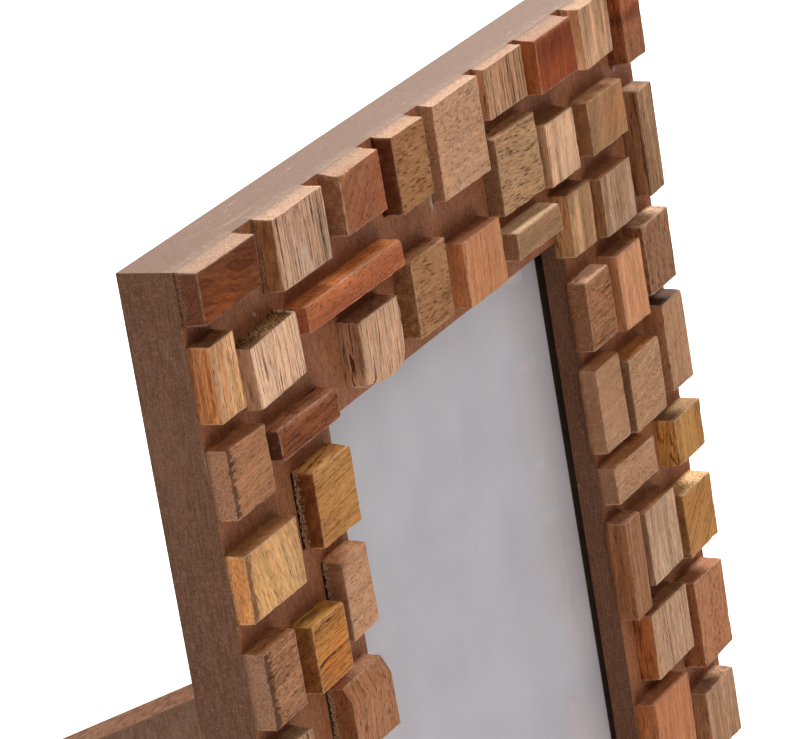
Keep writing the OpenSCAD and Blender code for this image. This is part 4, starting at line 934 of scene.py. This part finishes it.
def streaks(ob, axis_of, cutband=None, painted_shade=None, frame_of=None, flats=()):
    """Stores ls and fx on each face corner. axis_of(normal) gives the streak
    direction in board coordinates for a face. flats = directions of flat faces
    that are turned against the board."""
    me = ob.data
    nv = len(me.vertices)
    co = np.zeros(nv * 3)
    me.vertices.foreach_get("co", co)
    bc = to_board(co.reshape(-1, 3)) if frame_of is None else frame_of(co.reshape(-1, 3))
    nl = len(me.loops)
    vi = np.zeros(nl, np.int64)
    me.loops.foreach_get("vertex_index", vi)
    ls = np.zeros((nl, 3))
    fx = np.zeros((nl, 3))
    fc = np.zeros((nl, 3))
    for p in me.polygons:
        idx = list(p.loop_indices)
        pts = bc[vi[idx]]
        nrm = np.cross(pts[1] - pts[0], pts[2] - pts[1])
        if len(idx) > 3:
            nrm = nrm + np.cross(pts[3] - pts[2], pts[0] - pts[3])
        nrm = nrm / max(np.linalg.norm(nrm), 1e-12)
        al = np.asarray(axis_of(nrm), float)
        o = np.array([13.0, 47.0, 91.0]) * np.round(nrm, 0).astype(int).dot([1, 3, 7])
        s1 = np.cross(nrm, al)
        if np.linalg.norm(s1) < 0.3:
            s1 = np.cross(al, [0, 0, 1.0]) if abs(al[2]) < 0.9 else np.array([1.0, 0, 0])
        s1 = s1 / np.linalg.norm(s1)
        s2 = np.cross(al, s1)
        ls[idx] = np.stack([pts @ s1, pts @ s2, pts @ al], 1) + o
        flat = max(abs(nrm)) > 0.995 or any(abs(nrm @ np.array(v)) > 0.995 for v in flats)
        fx[idx, 0] = 0.0 if flat else 1.0
        fc[idx, 0] = 1.0 if frame_of is None and nrm[1] < -0.9 else 0.0
        fc[idx, 1] = 1.0 if frame_of is None and nrm[2] > 0.9 and pts[:, 2].mean() > 200 else 0.0
        if cutband is not None:
            fx[idx, 1] = cutband(nrm, pts)
        if painted_shade is not None:
            fx[idx, 2] = painted_shade(nrm, pts)
    store(me, "ls", ls, "CORNER")
    store(me, "fx", fx, "CORNER")
    store(me, "fc", fc, "CORNER")


def board_axis(n):
    ax = int(np.argmax(np.abs(n)))
    return ((0, 0, 1), (0, 0, 1), (1, 0, 0))[ax]


# the front arris of the top edge was sanded together with the blocks and is sharp
board = refine("frame_board", "board", [MDF], 0.13, 2, merge=False,
               crisp=lambda p: max(abs(p[:, 1])) < 0.01 and min(p[:, 2]) > BH - 0.01)


def rebate_shade(n, pts):
    """Painted shade on the faces inside the opening and the rebate."""
    c = pts.mean(0)
    inside = 33 < c[0] < 137 and 33 < c[2] < 187
    return 0.42 if inside else 0.0


streaks(board, board_axis, painted_shade=rebate_shade)

panel = refine("back_panel", "back_board", [MDF_BACK], 0.25, 2)
# a plain flat board: each face keeps its own direction
panel.modifiers.clear()
panel.data.polygons.foreach_set("use_smooth", [False] * len(panel.data.polygons))
# its front, behind the glass, is painted near black as shade
streaks(panel, board_axis, painted_shade=lambda n, pts: 2.0 if n[1] < -0.9 else 0.0)

# the leg: the same stained board, its sloping top edge left raw and coarse
leg = refine("leg", "stand_leg", [MDF_LEG, MDF_RAW], 0.35, 3)


def leg_axis(n):
    return (0, 0, 1) if abs(n[2]) < 0.9 else (1, 0, 0)


def leg_cut(n, pts):
    return 1.0 if 0.55 < n[2] < 0.995 and pts[:, 2].mean() > 60 else 0.0


# its outer edge, its broad sides and its foot
streaks(leg, leg_axis, cutband=leg_cut, flats=[(-0.2588, 0.9659, 0), (-0.9659, -0.2588, 0), (0, 0.1736, -0.9848)])
cut_at = [d.vector[1] for d in leg.data.attributes["fx"].data]
for p in leg.data.polygons:
    if cut_at[p.loop_start] > 0.5:
        p.material_index = 1

for node in ("turn_button_left_upper", "turn_button_left_lower", "turn_button_right_upper", "turn_button_right_lower"):
    refine(node, node.replace("turn_button", "button"), [STEEL], 0.22, 2)
refine("button_screws", "button_screw_set", [STEEL], 0.07, 1, 40)
refine("hinge_leaf_panel", "hinge_plate_panel", [HINGE], 0.12, 2, 40)
refine("hinge_leaf_leg", "hinge_plate_leg", [HINGE], 0.12, 2, 40)
refine("hinge_pin", "hinge_rod", [HINGE], 0.15, 2, 40)
refine("hinge_rivets", "hinge_rivet_set", [HINGE], 0.12, 2, 40)
refine("leg_screws", "leg_screw_set", [STEEL], 0.06, 1, 40)


# ---------------------------------------------------------------- glass and paper
def slab(name, x0, x1, y0, y1, z0, z1, nx, nz, r, mats, node, turn=0.0, bow=None):
    """A thin sheet with a rounded edge, as a lattice with rings close to its rim."""
    def rim(length, n):
        near = [0.0, r * 0.3, r]
        return near + list(np.linspace(r, length - r, n + 1))[1:-1] + [length - v for v in near[::-1]]
    W, H, T = x1 - x0, z1 - z0, y1 - y0
    pos, faces = lattice(rim(W, nx), [0.0, T * 0.15, T * 0.5, T * 0.85, T], rim(H, nz))
    rr = min(r, T / 2)
    low = np.array([rr, rr, rr])
    high = np.array([W - rr, T - rr, H - rr])
    core = np.minimum(np.maximum(pos, low), np.maximum(high, low))
    q = pos - core
    n = np.linalg.norm(q, axis=1)
    out = np.where((n > rr)[:, None], core + q / np.maximum(n, 1e-9)[:, None] * rr, pos)
    if bow is not None:
        out[:, 1] += bow(out / np.array([W, 1, H]))
    a = math.radians(turn)
    X = x0 + out[:, 0] * math.cos(a) - out[:, 2] * math.sin(a)
    Z = z0 + out[:, 0] * math.sin(a) + out[:, 2] * math.cos(a)
    ob = new_object(name, np.stack([X, y0 + out[:, 1], Z], 1), faces.tolist(), mats, "frame", [node], smooth=False)
    store(ob.data, "ls", out)
    return ob


slab("glass_sheet", 34.1, 135.9, 4.53, 6.45, 34.1, 185.9, 3, 3, 0.25, [GLASS], "glass_pane")
slab("paper_sheet", 36.0, 131.0, 6.52, 6.78, 34.3, 182.3, 40, 60, 0.1, [PAPER], "photo_insert", turn=0.5)


# ---------------------------------------------------------------- dried glue
def blob(name, x, z, rx, rz, h, seed):
    """A small puddle of glue on the board, as a squashed and dented ball."""
    bm = bmesh.new()
    bmesh.ops.create_icosphere(bm, subdivisions=3, radius=1.0)
    co = np.array([v.co[:] for v in bm.verts])
    bump = 0.72 + 0.5 * vnoise(co * 1.6 + 5, seed) + 0.15 * vnoise(co * 4.5 + 9, seed + 1)
    co = co * bump[:, None]
    y = np.where(co[:, 1] < 0, co[:, 1] * h, 0.0)
    pts = np.stack([x + co[:, 0] * rx, y - 0.01 + (co[:, 1] >= 0) * 0.06, z + co[:, 2] * rz], 1)
    faces = [[v.index for v in f.verts] for f in bm.faces]
    bm.free()
    return new_object(name, pts, faces, [GLUE], "frame")


blob("glue_left", 21.4, 220 - 14.4, 0.25, 0.50, 0.5, 11)
blob("glue_drip", 84.9, 220 - 16.3, 0.3, 2.2, 0.35, 29)
blob("glue_right", 161.6, 220 - 16.6, 0.4, 0.6, 0.5, 37)

# ---------------------------------------------------------------- studio
bpy.ops.mesh.primitive_plane_add(size=6.0, location=(0, 0, 0))
floor = bpy.context.object
floor.name = "floor"
floor.data.materials.append(floor_paint())

# a dim room
world = bpy.data.worlds.new("studio")
scene.world = world
world.use_nodes = True
bg = world.node_tree.nodes["Background"]
bg.inputs[0].default_value = (1.0, 1.0, 1.0, 1)
bg.inputs[1].default_value = 0.115


def softbox(name, at, aim, size, power, colour=(1, 1, 1)):
    li = bpy.data.lights.new(name, "AREA")
    li.shape = "RECTANGLE"
    li.size, li.size_y = size
    li.energy = power
    li.color = colour
    ob = bpy.data.objects.new(name, li)
    scene.collection.objects.link(ob)
    ob.location = at
    ob.rotation_euler = (Vector(aim) - Vector(at)).to_track_quat("-Z", "Y").to_euler()
    return ob


softbox("overhead", (0.20, 0.75, 2.6), (0.0, 0.0, 0.1), (1.5, 0.8), 66.0)
softbox("key_right", (1.90, 0.30, 1.6), (0.0, 0.0, 0.1), (0.8, 0.8), 97.0)
softbox("fill_left", (-0.90, -1.20, 2.1), (0.0, 0.0, 0.1), (1.2, 0.8), 10.0)

cam_data = bpy.data.cameras.new("camera")
cam = bpy.data.objects.new("camera", cam_data)
scene.collection.objects.link(cam)
cam_data.sensor_fit = "HORIZONTAL"
cam_data.sensor_width = 36.0
cam_data.lens = 204.9975
cam_data.clip_start, cam_data.clip_end = 0.05, 30
right = Vector((0.43832461, -0.89881644, -0.00074172))
up = Vector((0.34559104, 0.16777203, 0.92326561))
back = Vector((-0.82972186, -0.40494637, 0.38416152))
m = Matrix((right, up, back)).transposed().to_4x4()
m.translation = (-0.65006477, -0.32817681, 0.47113784)
cam.matrix_world = m
scene.camera = cam

scene.view_settings.view_transform = "Standard"
scene.view_settings.look = "None"
